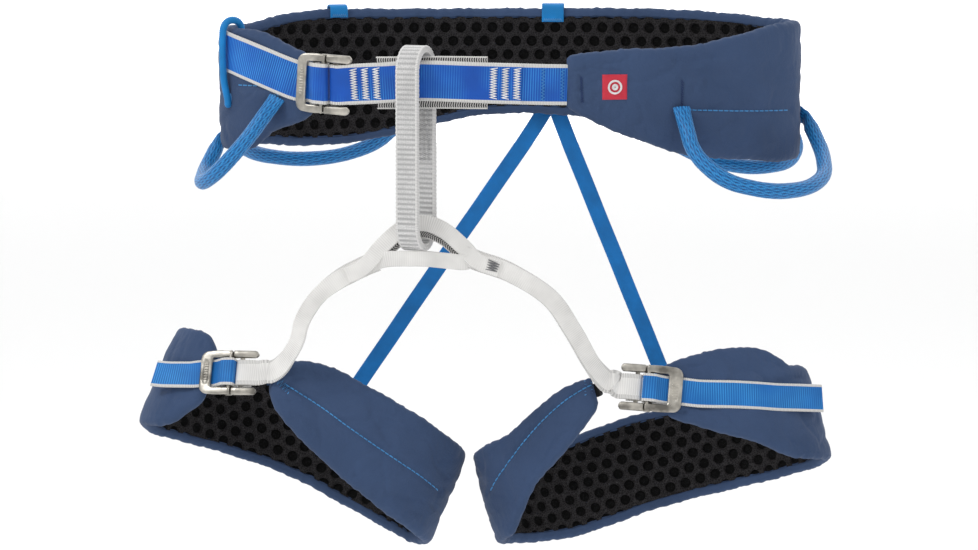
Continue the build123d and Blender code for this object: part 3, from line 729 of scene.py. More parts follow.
def build_pads():
    """Fabric and lining of the waist belt and both leg loops."""
    for name, pad in PADS.items():
        shell, hold = pad_shell(pad)
        settle_fabric(shell, hold)
        add_subdivision(shell)
        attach(shell, name)
        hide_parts(f"{name}_shell", f"{name}_foam", f"{name}_core_webbing")
        lining = pad_lining(pad)
        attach(lining, name)
        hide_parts(f"{name}_lining")


build_pads()


# ---- webbing ------------------------------------------------------------------------------
class Strip:
    """Flat webbing along a smooth route: a place is (length along, distance across, height)."""

    def __init__(self, points, sides, face, pitch=0.5, steps=8, closed=False):
        route = smooth_route(points, steps) if steps else np.array(points, float)
        sides = [sides] * len(points) if np.ndim(sides[0]) == 0 else sides
        across = smooth_route(sides, steps) if steps else np.array(sides, float)
        (route, across), self.along = resample(route, pitch, across)
        ahead, self.side, self.lift = frames_along(route, across)
        if closed:
            ahead = unit(np.roll(route, -1, 0) - np.roll(route, 1, 0))
            ahead[0] = ahead[-1] = unit(route[1] - route[-2])
            self.side = unit(across - ahead * np.sum(across * ahead, 1, keepdims=True))
            self.lift = np.cross(ahead, self.side)
        if np.sum(self.lift[0] * vec(face)) < 0:
            self.lift = -self.lift
        self.route, self.closed, self.length = route, closed, self.along[-1]

    def at(self, s, v, h):
        """Points of the harness frame from places on the strip."""
        s, v, h = np.broadcast_arrays(np.asarray(s, float), v, h)
        middle, side, lift = (
            np.stack([np.interp(s, self.along, column) for column in rows.T], -1)
            for rows in (self.route, self.side, self.lift)
        )
        return middle + side * v[..., None] + lift * h[..., None]


def profile(width, thickness, layers=1):
    """Section of webbing as (across, height) points, its edges rounded once per layer."""
    half, radius = width / 2, thickness / (2 * layers)
    face = np.linspace(-1, 1, 25) * (half - radius)
    edge = []
    for layer in range(layers):
        middle = thickness / 2 - radius * (2 * layer + 1)
        for turn in np.linspace(80, -80, 5):
            angle = math.radians(turn)
            edge.append((half - radius + radius * math.cos(angle), middle + radius * math.sin(angle)))
    top = [(v, thickness / 2) for v in face]
    return np.array(top + edge + [(-v, -h) for v, h in top] + [(-v, -h) for v, h in edge])


def weave(mesher, strip, width, thickness, rib=1.7, ridge=0.07, selvage=1.9, layers=1, wave=0.12, taper=None):
    """Adds woven webbing to a mesh: cross ribs, thicker toothed edges and a slightly uneven lie."""
    section = profile(width, thickness, layers)
    s = strip.along[:-1] if strip.closed else strip.along
    v = np.broadcast_to(section[:, 0], (len(s), len(section))).copy()
    h = np.broadcast_to(section[:, 1], v.shape).copy()
    along = np.broadcast_to(s[:, None], v.shape)
    inside = np.abs(v) < width / 2 - selvage
    on_face = np.abs(h) > thickness * 0.35
    phase = 2 * math.pi * along / rib
    tooth = np.cos(phase * 1.06)
    fade = 0.65 + 0.35 * wobble(along * 0.21, v * 0.1, seed=width)
    h += np.sign(h) * on_face * np.where(inside, ridge * np.cos(phase) * fade, 0.12 + 0.05 * tooth)
    v += np.where(np.abs(v) > width / 2 - 0.4, 0.12 * np.sign(v) * tooth, 0)
    h += wave * wobble(along * 0.11 + width, seed=0.6) * (0.4 + np.abs(v) / width)
    v += wave * wobble(along * 0.07, seed=width * 0.3)
    if taper is not None:
        v *= np.interp(s, *taper)[:, None]
    rows, columns = v.shape
    faces = grid_faces(rows, columns, True, True) if strip.closed else capped_faces(rows, columns)
    mesher.add(strip.at(along, v, h), faces, along=along, across=v)


def zigzag(mesher, strip, start, end, low, high, pitch, radius, height, kind=0):
    """A bartack: thread worked back and forth between two lengths of a strip."""
    count = int((high - low) / pitch) * 2
    turn = np.arange(count + 1)
    s = np.where(turn % 2 == 0, start, end)
    v = np.linspace(low, high, count + 1)
    fine = np.linspace(0, count, count * 4 + 1)
    lift = height + radius * 0.5 * np.abs(np.sin(fine * math.pi))
    tube(mesher, strip.at(np.interp(fine, turn, s), np.interp(fine, turn, v), lift), radius, kind=kind)


def flecks_and_painted_gap_shade(n, across, wave, inner, amount):
    """Darker flecks of a coarse weave, and painted shade in the gaps between its ribs."""
    warp = n.math("ABSOLUTE", n.math("SINE", n.math("MULTIPLY", across, math.pi / 1.3)))
    # painted shade: darker in the gaps between the ribs; the flecks below are the weave's own
    gap = n.ramp(wave, (0.12, LIGHT), (0.55, DARK))
    flecks = n.ramp(n.noise(1300, 2), (0.42, DARK), (0.62, LIGHT))
    rows = n.math("MULTIPLY", gap, n.math("MULTIPLY_ADD", warp, 0.6, 0.4))
    flecks_and_painted_shade = n.math("MAXIMUM", rows, n.math("MULTIPLY", flecks, 0.5))
    return n.mix(n.math("MULTIPLY", flecks_and_painted_shade, amount), inner, (0.25, 0.25, 0.255))


def webbing_material(name, body, edge, half, selvage, light, rib=1.7, gloss=0.55, fleck_and_shade_amount=0.0):
    """Woven webbing: coloured body with a painted highlight along its rib crowns in patches, and paler toothed
    edges.
    """
    n = Nodes(name, body, gloss, Sheen_Weight=0.15, Sheen_Roughness=0.4, Specular_IOR_Level=0.35)
    along, across = n.value("along"), n.value("across")
    wave = n.ripple(along, rib)
    # painted highlight: a lighter colour on the crowns of the ribs, in patches
    painted_highlight_patches = n.ramp(n.noise(26, 2), (0.35, DARK), (0.7, LIGHT))
    painted_crown_highlight = n.math("MULTIPLY", n.math("POWER", wave, 3.0), painted_highlight_patches)
    tone = n.ramp(n.noise(45, 2), (0.3, shade(body, 0.86)), (0.7, shade(body, 1.1)))
    inner = n.mix(painted_crown_highlight, tone, light)
    if fleck_and_shade_amount:
        inner = flecks_and_painted_gap_shade(n, across, wave, inner, fleck_and_shade_amount)
    border = n.math("GREATER_THAN", n.math("ABSOLUTE", across), half - selvage)
    rim = n.mix(n.ripple(along, 1.05), shade(edge, 0.66), edge)
    n.colour(n.mix(border, inner, rim))
    n.bump(n.sine(across, 0.8), 0.18, 0.0002)
    n.bump(n.noise(1600, 2), 0.25, 0.0002)
    return n.material


def hatched_material(name, pitch, slant, half, selvage):
    """Black and white herringbone weave with pale edges."""
    n = Nodes(name, grey(0.3), 0.8, Specular_IOR_Level=0.2)
    along, across = n.value("along"), n.value("across")
    fold = n.math("PINGPONG", across, 2.6)
    stripe = n.sine(n.math("MULTIPLY_ADD", fold, slant, along), pitch)
    frayed = n.math("MULTIPLY_ADD", n.noise(900, 2), 0.4, stripe)
    inner = n.ramp(frayed, (0.1, grey(0.012)), (0.45, (0.62, 0.61, 0.6)))
    border = n.math("GREATER_THAN", n.math("ABSOLUTE", across), half - selvage)
    n.colour(n.mix(border, inner, (0.66, 0.65, 0.63)))
    n.bump(stripe, 0.4, 0.0003)
    return n.material


def plain_weave_material(name, colour, pitch, gloss=0.5, light=1.35):
    """Tape or thread of one colour with a fine crossed weave, its raised cells painted lighter as a highlight.
    """
    settings = {"Sheen_Weight": 0.12, "Sheen_Roughness": 0.45, "Specular_IOR_Level": 0.35}
    n = Nodes(name, colour, gloss, **settings)
    cell = n.math("MULTIPLY", n.sine(n.value("along"), pitch), n.sine(n.value("across"), pitch))
    tone = n.ramp(n.noise(70, 3), (0.3, shade(colour, 0.82)), (0.7, shade(colour, 1.12)))
    # painted highlight: the raised cells of the weave are lighter
    n.colour(n.mix(n.math("MULTIPLY", n.math("MAXIMUM", cell, 0.0), 0.45), tone, shade(colour, light)))
    n.bump(cell, 0.3, 0.00025)
    return n.material


def metal_material():
    """Satin forged aluminium: finely brushed, with painted reflections as darker and brighter patches in its
    colour.
    """
    n = Nodes("satin_metal", STEEL, 0.3, Metallic=1.0)
    # painted reflection: the darker and brighter patches of the colour stand in for what the metal mirrors
    n.colour(n.ramp(n.noise(75, 3), (0.34, shade(STEEL, 0.45)), (0.5, STEEL), (0.7, shade(STEEL, 1.6))))
    n.rough(n.ramp(n.noise(160, 3), (0.3, grey(0.27)), (0.7, grey(0.46))))
    n.bump(n.noise(700, 3), 0.12, 0.0002)
    n.bump(n.noise(90, 2), 0.1, 0.0006)
    return n.material


def braid_material():
    """Braided sheath: a painted highlight on each strand's crown and painted shade in the gaps between strands.
    """
    settings = {"Sheen_Weight": 0.2, "Sheen_Roughness": 0.4, "Specular_IOR_Level": 0.4}
    n = Nodes("bright_cord", CORD_BLUE, 0.5, **settings)
    # painted shade in the gaps and painted highlight on the crowns, read from the strands' height
    n.colour(n.ramp(n.value("crown"), (0.1, shade(CORD_BLUE, 0.22)), (0.55, CORD_BLUE), (0.95, CORD_PAINTED_HIGHLIGHT)))
    n.bump(n.noise(1500, 2), 0.25, 0.0002)
    return n.material


def label_material():
    """Red woven patch."""
    n = Nodes("red_label", RED, 0.65)
    settings = {"wave_type": "BANDS", "bands_direction": "Z"}
    weft = n.add("ShaderNodeTexWave", settings, Scale=420.0, Distortion=0.6, Vector=n.place()).outputs["Fac"]
    n.colour(n.mix(n.math("MULTIPLY", weft, 0.5), RED, shade(RED, 0.62)))
    n.bump(weft, 0.3, 0.0002)
    return n.material


METAL = metal_material()
BRAID = braid_material()
RED_LABEL = label_material()
WHITE_THREAD = plain_weave_material("white_thread", (0.82, 0.82, 0.83), 0.7, 0.55, 1.15)
BLUE_THREAD = plain_weave_material("blue_thread", (0.06, 0.27, 0.58), 0.7)
NAVY_THREAD = plain_weave_material("navy_thread", (0.012, 0.035, 0.14), 0.7)
GREY_THREAD = plain_weave_material("grey_thread", (0.17, 0.17, 0.18), 0.7)
BLACK_TAPE = plain_weave_material("black_tape", (0.012, 0.012, 0.013), 1.0, 0.7)
CYAN_TAPE = plain_weave_material("cyan_elastic", CYAN, 1.3, 0.6)
RISER_TAPE = plain_weave_material("riser_blue", RISER_BLUE, 1.2, 0.62)
WAIST_BLUE = webbing_material("blue_webbing", ROYAL, WHITE, 14.0, 2.5, ROYAL_PAINTED_HIGHLIGHT)
LEG_BLUE = webbing_material("leg_webbing", LEG_ROYAL, WHITE, 10.0, 1.9, ROYAL_PAINTED_HIGHLIGHT)
WHITE_WEB = webbing_material("white_webbing", WHITE, WHITE, 7.5, 1.5, (0.88, 0.87, 0.85), 1.5, 0.65)
GREY_WEB = webbing_material(
    "grey_webbing", (0.62, 0.615, 0.61), (0.80, 0.79, 0.78), 8.0, 1.5, (0.78, 0.775, 0.77), 3.4, 0.7, 0.7
)
LINER = hatched_material("hatched_liner", 1.7, 0.8, 5.25, 0.6)
SLEEVE = hatched_material("hatched_sleeve", 1.6, 0.25, 18.0, 1.0)


# ---- places on the pads -------------------------------------------------------------------
def ring_point(size, x, offset, z, side=-1):
    """A point over an elliptical ring at a given x, a given distance outside its surface."""
    across, depth = size[0] + offset, size[1] + offset
    return vec(x, side * depth * math.sqrt(max(0.0, 1 - (x / across) ** 2)), z)


def ring_outward(size, x, side=-1):
    """The ring's outward direction at a given x."""
    y = side * size[1] * math.sqrt(max(0.0, 1 - (x / size[0]) ** 2))
    return unit(vec(x / size[0] ** 2, y / size[1] ** 2, 0))


def on_pad(pad, x, offset, z, side=-1):
    """A point over a pad's wall, in the harness frame."""
    return pad.local(ring_point(pad.size, x, offset, z, side))


def beside_waist(x, offset, z, side=-1):
    """A place square to the belt's surface, outside it or inside it."""
    return ring_point(WAIST, x, 0, z, side) + ring_outward(WAIST, x, side) * offset


class BucklePlane:
    """A buckle's own plane: x along the webbing to the free tail, z away from the body."""

    def __init__(self, pad, start, towards):
        self.origin = on_pad(pad, start[0], 0, start[1])
        self.x = unit(on_pad(pad, towards[0], 0, towards[1]) - self.origin)
        flat = ring_outward(pad.size, (start[0] + towards[0]) / 2)
        outward = flat[0] * pad.x + flat[1] * pad.y
        self.z = unit(outward - self.x * np.sum(outward * self.x))
        self.y = np.cross(self.z, self.x)

    def at(self, x, y, z):
        """Points of the harness frame from the plane's own coordinates."""
        x, y, z = np.broadcast_arrays(np.asarray(x, float), y, z)
        return self.origin + x[..., None] * self.x + y[..., None] * self.y + z[..., None] * self.z


WAIST = PADS["waistbelt"].size
BUCKLE_PLANES = {
    "waist": BucklePlane(PADS["waistbelt"], (-121, 8.5), (-150, 10.5)),
    "leg_left": BucklePlane(PADS["leg_left"], (-57.8, 17.5), (-84, 8)),
    "leg_right": BucklePlane(PADS["leg_right"], (3.6, 45.0), (37, 32.5)),
}
# width of the webbing, height of the frame, and where its thick bar starts and ends
BUCKLE_SIZES = {
    "waist": (28.0, 41.0, 19.5, 26.5),
    "leg_left": (20.0, 32.0, 21.0, 29.5),
    "leg_right": (20.0, 33.0, 22.0, 32.0),
}
FRONT = vec(0, -1, 0)


def around_waist(places):
    """Points round the front of the waist ring from (x, offset, z) places."""
    return [ring_point(WAIST, x, offset, z) for x, offset, z in places]


def finish_piece(piece, body, slot, *nodes):
    """Says which body a piece moves with and the design solids it stands for; slot is not used."""
    if body:
        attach(piece, body)
    if nodes:
        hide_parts(*nodes)


def web_piece(name, material, strip, width, thickness, body, slot, *nodes, **lay):
    """One length of webbing as a piece of its own."""
    mesher = Mesher()
    weave(mesher, strip, width, thickness, **lay)
    piece = mesher.make(name, material)
    finish_piece(piece, body, slot, *nodes)
    return piece


# ---- buckles ------------------------------------------------------------------------------
def corner_arc(centre, radius, start, end, count):
    """Points of an arc between two angles in degrees."""
    turn = np.radians(np.linspace(start, end, count))
    return np.stack([centre[0] + radius * np.cos(turn), centre[1] + radius * np.sin(turn)], 1)


# section of a plate as (across, up), each from 0 to 1: a soft crown and rounded edges
PLATE_SECTION = np.array([
    (0.0, 0.3), (0.0, 0.7), (0.05, 0.9), (0.15, 1.0), (0.3, 1.03), (0.45, 1.04), (0.55, 1.04), (0.7, 1.03),
    (0.85, 1.0), (0.95, 0.9), (1.0, 0.7), (1.0, 0.3), (0.9, 0.05), (0.75, 0.0), (0.25, 0.0), (0.1, 0.05),
])


def plate_band(mesher, plane, outer, inner, low, high, recess=None):
    """A flat metal band between two outlines with softly rounded edges, and a recess if given."""
    w, t = PLATE_SECTION.T
    x = inner[:, :1] + (outer[:, :1] - inner[:, :1]) * w
    y = inner[:, 1:] + (outer[:, 1:] - inner[:, 1:]) * w
    z = low + (high - low) * np.broadcast_to(t, x.shape)
    if recess is not None:
        middle, half_width, half_length, deep = recess
        away = ((x - middle) / half_width) ** 2 + (y / half_length) ** 2
        z = z - deep * np.clip((1.25 - away) / 0.4, 0, 1) * (t > 0.95)
    mesher.add(plane.at(x, y, z), capped_faces(*x.shape))


EAR, EAR_POINTS = 6.3, 24  # where a lifting frame's ears begin
BAR_CORNER, WINDOW_CORNER = 6, 1.5
FRAME_LOW, FRAME_HIGH = 2.8, 5.35
PIVOT_AT, PIVOT_HEIGHT, PIVOT_RADIUS = 7.8, 4.1, 1.45
CHEEK_REACH = 11.9


def frame_outlines(half, window, bar_start, bar_end):
    """Outer and inner outlines of a lifting frame: an ear, round the bar, the other ear."""
    flat_end, window_end = bar_end - BAR_CORNER, bar_start - WINDOW_CORNER
    swell = 0.5 * np.sin(np.linspace(0, math.pi, EAR_POINTS)) - 0.5
    outer, inner = [], []
    for side in (1, -1):
        run = np.stack([np.linspace(EAR, flat_end, EAR_POINTS), side * (half + swell)], 1)
        corner = corner_arc((flat_end, side * (half - BAR_CORNER - 0.5)), BAR_CORNER, 90 * side, 0, 9)
        outer.append(np.vstack([run, corner[1:]]))
        run = np.stack([np.linspace(EAR, window_end, EAR_POINTS), np.full(EAR_POINTS, side * window)], 1)
        corner = corner_arc((window_end, side * (window - WINDOW_CORNER)), WINDOW_CORNER, 90 * side, 0, 9)
        inner.append(np.vstack([run, corner[1:]]))
    across = np.linspace(1, -1, 40)[1:-1]
    bar_out = np.stack([bar_end + 0 * across, across * (half - BAR_CORNER - 0.5)], 1)
    bar_in = np.stack([bar_start + 0 * across, across * (window - WINDOW_CORNER)], 1)
    outer = np.vstack([outer[0], bar_out, outer[1][::-1]])
    inner = np.vstack([inner[0], bar_in, inner[1][::-1]])
    # the ears narrow and round off at the pivot
    near = np.clip((inner[:, :1] - EAR) / 2.5, 0, 1)
    narrow = 0.8 + 0.2 * np.sqrt(1 - (1 - near) ** 2)
    centre = (outer + inner) / 2
    return centre + (outer - centre) * narrow, centre + (inner - centre) * narrow


def build_lifter(name, plane, half, window, bar_start, bar_end):
    """A buckle's lifting frame with its recess, plain grip ribs and pivot bar."""
    mesher = Mesher()
    bar = (bar_start + bar_end) / 2
    wide, long = (bar_end - bar_start) * 0.3, window * 0.78
    outer, inner = frame_outlines(half, window, bar_start, bar_end)
    plate_band(mesher, plane, outer, inner, FRAME_LOW, FRAME_HIGH, recess=(bar, wide, long, 0.7))
    for y in np.arange(-long + 2.4, long - 2.0, 1.9):
        reach = wide * 0.62 * math.sqrt(max(0.05, 1 - (y / long) ** 2))
        rib = plane.at(bar + np.linspace(-reach, reach, 5), y, FRAME_HIGH - 0.5)
        tube(mesher, rib, 0.42, around=8)
    pivot = plane.at(PIVOT_AT, np.linspace(-half + 1.2, half - 1.2, 24), PIVOT_HEIGHT)
    tube(mesher, pivot, PIVOT_RADIUS, around=16)
    piece = mesher.make(f"{name}_buckle_lifter", METAL)
    finish_piece(piece, f"{name}_buckle", "satin_metal", f"{name}_buckle_frame")


def build_plate(name, body, plane, rail, window):
    """A buckle's fixed plate: two cheeks joined by two crossbars."""
    mesher = Mesher()
    x = np.linspace(-CHEEK_REACH, CHEEK_REACH, 60)
    tip = np.clip(np.abs(x) - (CHEEK_REACH - 2.5), 0, 2.5) / 2.5
    ease = np.sqrt(np.clip(1 - tip**2, 0.04, 1))
    rise = 1.8 + 3.4 * np.clip((5.9 - x) / 0.5, 0, 1) * np.sqrt(np.clip((x + 13.5) / 16, 0, 1))
    for side in (-1, 1):
        middle = side * (window + rail / 2)
        edges = [np.stack([x, middle + way * rail / 2 * ease], 1) for way in (1, -1)]
        plate_band(mesher, plane, *edges, 0, rise[:, None])
    y = np.linspace(-window - 0.8, window + 0.8, 12)
    for low, high in ((-1.6, 1.6), (6.0, 11.6)):
        plate_band(mesher, plane, np.stack([high + 0 * y, y], 1), np.stack([low + 0 * y, y], 1), 0.05, 1.75)
    piece = mesher.make(f"{name}_buckle_body", METAL)
    finish_piece(piece, body, "satin_metal", f"{name}_buckle_plate")


def build_buckle(name, body):
    """The lifting frame and the plate of one buckle."""
    plane = BUCKLE_PLANES[name]
    web, height, bar_start, bar_end = BUCKLE_SIZES[name]
    half, window = height / 2, web / 2 + 0.9
    build_lifter(name, plane, half, window, bar_start, bar_end)
    build_plate(name, body, plane, half - window, window)


for name, body in (("waist", "waistbelt"), ("leg_left", "leg_left"), ("leg_right", "leg_right")):
    build_buckle(name, body)


# ---- waist webbing ------------------------------------------------------------------------
# routes along and above a buckle's plane: a strap folded round the plate's first crossbar,
# and the adjusting webbing turned round its second
FOLD_ROUTE = [(-3.5, 2.75), (0.6, 2.75), (2.2, 2.3), (2.65, 0.9), (2.2, -0.5), (0.6, -0.95), (-7, -0.95)]
TURN_ROUTE = [(12.5, -1.05), (6.4, -1.05), (5.0, -0.4), (4.65, 2.8), (5.0, 6.0), (6.4, 6.65), (12.3, 6.65)]
BASE_PLACES = [
    (38.4, -4.5, 9), (18, -1.5, 9.5), (-13, 0.9, 10.5), (-62, 0.9, 12), (-92, 0.9, 10), (-112, 0.9, 8.6),
]
OVER_PLACES = [
    (7, 2.6, 10.2), (-6, 2.7, 10.5), (-16, 2.9, 10.8), (-30, 3.9, 11.2), (-62, 4.1, 12), (-82, 3.4, 10.6),
    (-92, 2.8, 10), (-109, 2.7, 9),
]
SLEEVE_PLACES = [(-16, -0.9, 10.8), (-50, -0.9, 10.8), (-92, -0.9, 10)]
TAIL_UNDER = [(-139.4, -1.8, 8), (-135, -1.3, 8.4)]
TAIL_THROUGH = [(15.5, 4.6), (19.0, 1.6), (27.0, 1.2)]
TAIL_FREE = [(-158, 1.5, 14), (-174, 1.6, 20), (-188, 1.6, 25), (-197, 1.4, 28), (-200.5, 1.4, 29.5)]
KEEPER_X = -197.0
KEEPER_PLACES = [
    (-10.4, 30), (-10.6, 43), (-8.4, 48.2), (-3.5, 50.2), (1.6, 48.8), (4.6, 44), (5.2, 34), (5.2, 20),
    (4.6, 9), (3.0, 1), (1.6, -5), (1.3, -9),
]


def plane_route(plane, places):
    """A route given along and above a buckle's plane."""
    return [plane.at(x, 0, z) for x, z in places]


def length_at(strip, x):
    """The first length along a strip that lies left of a given x."""
    return strip.along[int(np.argmax(strip.route[:, 0] < x))]


def build_waist_webbing():
    """The front webbing in its two layers, the sleeve behind it, bartacks and the free tail."""
    plane = BUCKLE_PLANES["waist"]
    blue = ("waistbelt", "blue_webbing")
    base = Strip(around_waist(BASE_PLACES), UP, FRONT)
    web_piece("waist_front", WAIST_BLUE, base, 28, 1.7, *blue, "waist_front_webbing", selvage=2.5)
    over = Strip(around_waist(OVER_PLACES) + plane_route(plane, FOLD_ROUTE), UP, FRONT)
    web_piece("upper_tie_in", WAIST_BLUE, over, 27.4, 1.6, *blue, "upper_tie_in_webbing", selvage=2.4)
    sleeve = Strip(around_waist(SLEEVE_PLACES), UP, FRONT)
    web_piece(
        "upper_tie_in_lining", SLEEVE, sleeve, 36, 1.3, "waistbelt", "hatched_liner", "upper_tie_in_sleeve",
        rib=1.6, ridge=0.1, selvage=1.0,
    )
    threads = Mesher()
    for x in (4.4, -3.6, -11.6, -91.5, -99.3, -107.0):
        s = length_at(over, x)
        zigzag(threads, over, s - 2.5, s + 2.5, -10.5, 10.5, 1.7, 0.36, 1.0)
    for x, reach in ((22, 11), (35, 10)):
        s = length_at(base, x)
        zigzag(threads, base, s - 1.2, s + 1.2, -reach, reach, 2.2, 0.22, 0.95, kind=1)
    piece = threads.make("waist_stitching", WHITE_THREAD, BLUE_THREAD)
    finish_piece(piece, "waistbelt", "white_thread", "waist_bartacks")

    route = around_waist(TAIL_UNDER) + plane_route(plane, TURN_ROUTE + TAIL_THROUGH) + around_waist(TAIL_FREE)
    tail = Strip(route, UP, FRONT)
    web_piece("waist_tail", WAIST_BLUE, tail, 28, 1.5, *blue, "waist_tail_webbing", selvage=2.5)


def build_tail_keeper():
    """Round elastic over the belt's rim and round the tail, with a stitched end."""
    side = np.cross(ring_outward(WAIST, KEEPER_X), UP)
    keeper = Strip([beside_waist(KEEPER_X, offset, z) for offset, z in KEEPER_PLACES], side, vec(-1, 0, 0))
    mesher = Mesher()
    rings = 1 + 0.05 * np.cos(keeper.along * 2 * math.pi / 1.3)
    tube(mesher, keeper.route, 2.5 * rings, around=20, hint=UP + vec(0.1, 0.2, 0))
    zigzag(mesher, keeper, keeper.length - 7.5, keeper.length - 0.5, -2.2, 2.2, 1.0, 0.35, 1.9, kind=1)
    piece = mesher.make("tail_elastic", CYAN_TAPE, BLUE_THREAD)
    finish_piece(piece, "waistbelt", "cyan_elastic", "tail_keeper")


build_waist_webbing()
build_tail_keeper()


RIM_TOP, RIM_DEPTH = 54.9, 9.9


def over_rim(x, width, inside, outside, name, node):
    """A flat tape folded over the belt's back rim and stitched at both ends."""
    places = [
        (-RIM_DEPTH, inside), (-RIM_DEPTH, RIM_TOP - 2), (-RIM_DEPTH + 1.2, RIM_TOP + 0.8),
        (-RIM_DEPTH / 2, RIM_TOP + 1.7), (-0.4, RIM_TOP + 0.9), (0.9, RIM_TOP - 2), (0.9, outside),
    ]
    side = np.cross(ring_outward(WAIST, x, 1), UP)
    strip = Strip([beside_waist(x, offset, z, 1) for offset, z in places], side, FRONT)
    mesher = Mesher()
    weave(mesher, strip, width, 1.3, rib=1.3, ridge=0.1, selvage=0.3)
    reach = width / 2 - 1.5
    for end in (1.5, strip.length - 1.5):
        for height in (0.7, -0.7):
            zigzag(mesher, strip, end - 1, end + 1, -reach, reach, 1.3, 0.3, height, kind=1)
    piece = mesher.make(name, CYAN_TAPE, BLUE_THREAD)
    finish_piece(piece, "waistbelt", "cyan_elastic", node)


over_rim(-126, 13, 48, 44, "back_rim_tape", "rim_keeper")
over_rim(32, 16, 44, 40, "haul_tape", "haul_loop_tab")


HAUL_AT, HAUL_TILT = vec(32, 87, 21), math.radians(-4)
HAUL_STRAIGHT, HAUL_RADIUS = 17.0, 6.0
HAUL_SIDE = vec(1, 0, 0)
HAUL_BAR = vec(0, 85.5, 38.0)
BAR_TAPE = [(81.5, 38.5), (84, 39.6), (86.2, 39.9), (87.9, 38), (86.2, 36), (84, 36.4), (81.5, 37.5)]


def build_haul_loop():
    """The haul loop's ring of tape and the bar that holds it."""
    ring = []
    for sign in (1, -1):
        for turn in np.linspace(-math.pi / 2, math.pi / 2, 14):
            rise = HAUL_STRAIGHT + HAUL_RADIUS * math.cos(turn)
            ring.append((-sign * HAUL_RADIUS * math.sin(turn), sign * rise))
    ring.append(ring[0])
    back = vec(0, math.cos(HAUL_TILT), math.sin(HAUL_TILT))
    up = vec(0, -math.sin(HAUL_TILT), math.cos(HAUL_TILT))
    points = [HAUL_AT + back * y + up * z for y, z in ring]
    strip = Strip(points, HAUL_SIDE, points[0] - HAUL_AT, steps=0, closed=True)
    web_piece(
        "haul_ring", CYAN_TAPE, strip, 12, 1.9, "haul_loop", "cyan_elastic", "haul_loop",
        rib=1.3, ridge=0.1, selvage=0.3,
    )
    mesher = Mesher()
    tube(mesher, HAUL_BAR + np.linspace(22.8, 41.2, 20)[:, None] * HAUL_SIDE, 1.95, around=14)
    for x in (23.5, 40.5):
        tape = Strip([(x, y, z) for y, z in BAR_TAPE], HAUL_SIDE, UP)
        weave(mesher, tape, 2.0, 0.8, rib=1.0, ridge=0.05, selvage=0.2)
    finish_piece(mesher.make("haul_bar", CYAN_TAPE), "waistbelt", "cyan_elastic", "haul_loop_bar")


build_haul_loop()


# ---- belay loop ---------------------------------------------------------------------------
LOOP_TOP, LOOP_BOTTOM, LOOP_THICK, LOOP_GAP = 36.0, -105.2, 4.6, 28.0
LOOP_AT, LOOP_TURN = (-65.0, -73.0), math.radians(20)


def build_belay_loop():
    """Three sewn layers of speckled webbing, its overlap bartacked inside the rear strand."""
    through = vec(math.sin(LOOP_TURN), math.cos(LOOP_TURN), 0)
    side = np.cross(UP, through)
    radius = LOOP_GAP / 2 + LOOP_THICK / 2
    straight = (LOOP_TOP - LOOP_BOTTOM - LOOP_THICK) / 2 - radius
    ring = []
    for sign in (1, -1):
        ring += [(-sign * radius, sign * z) for z in np.linspace(-straight, straight, 40)[:-1]]
        for turn in np.linspace(-math.pi / 2, math.pi / 2, 24)[:-1]:
            ring.append((sign * radius * math.sin(turn), sign * (straight + radius * math.cos(turn))))
    ring.append(ring[0])
    centre = vec(*LOOP_AT, (LOOP_TOP + LOOP_BOTTOM) / 2)
    points = [centre + through * d + UP * z for d, z in ring]
    strip = Strip(points, side, points[0] - centre, steps=0, closed=True)
    web_piece(
        "belay_webbing", GREY_WEB, strip, 16, LOOP_THICK, "belay_loop", "grey_webbing", "belay_loop",
        rib=3.4, ridge=0.26, selvage=1.5, layers=3, wave=0.05,
    )
    rear = Strip([centre + through * (LOOP_GAP / 2 - 0.1) + UP * z for z in (30, 0, -10)], side, -through)
    mesher = Mesher()
    turns = 55
    sway = 1.1 * np.where(np.arange(turns) % 2, 1, -1)
    for column in (-3.6, 0.0, 3.6):
        tube(mesher, rear.at(np.linspace(0, 40, turns), column + sway, 0.3), 0.34)
    piece = mesher.make("belay_stitching", WHITE_THREAD)
    finish_piece(piece, "belay_loop", "white_thread", "belay_loop_bartack")


build_belay_loop()


# ---- bridge and straps --------------------------------------------------------------------
EYE_LEFT, EYE_RIGHT = vec(-101, -80, -115.5), vec(-23, -80, -111.5)
LEFT_RUN, RIGHT_RUN = vec(-118, -79, -124.5), vec(0, -80, -120)
UPPER_ROUTE = [
    EYE_LEFT, (-88, -78, -101), (-74, -74.5, -89.5), (-60, -73.5, -86), (-46, -75, -91), (-33, -78, -102),
    EYE_RIGHT,
]
UPPER_SIDES = [
    (-0.5, 0.1, 0.85), (-0.5, 0.2, 0.85), (-0.3, 0.2, 0.9), (0, 0.2, 1), (0.3, 0.2, 0.9), (0.5, 0.2, 0.85),
    (0.4, 0.1, 0.85),
]
LOWER_ROUTE = [
    EYE_LEFT, (-86, -82, -110.5), (-72, -83, -109.8), (-58, -83, -110), (-42, -83, -111.5),
    (-32, -82, -112.5), EYE_RIGHT,
]
LOWER_SIDES = [(-0.5, 0, 0.85), (-0.1, 0, 1), (0, 0, 1), (0, 0, 1), (0.1, 0, 1), (0.2, 0, 1), (0.4, 0, 0.85)]
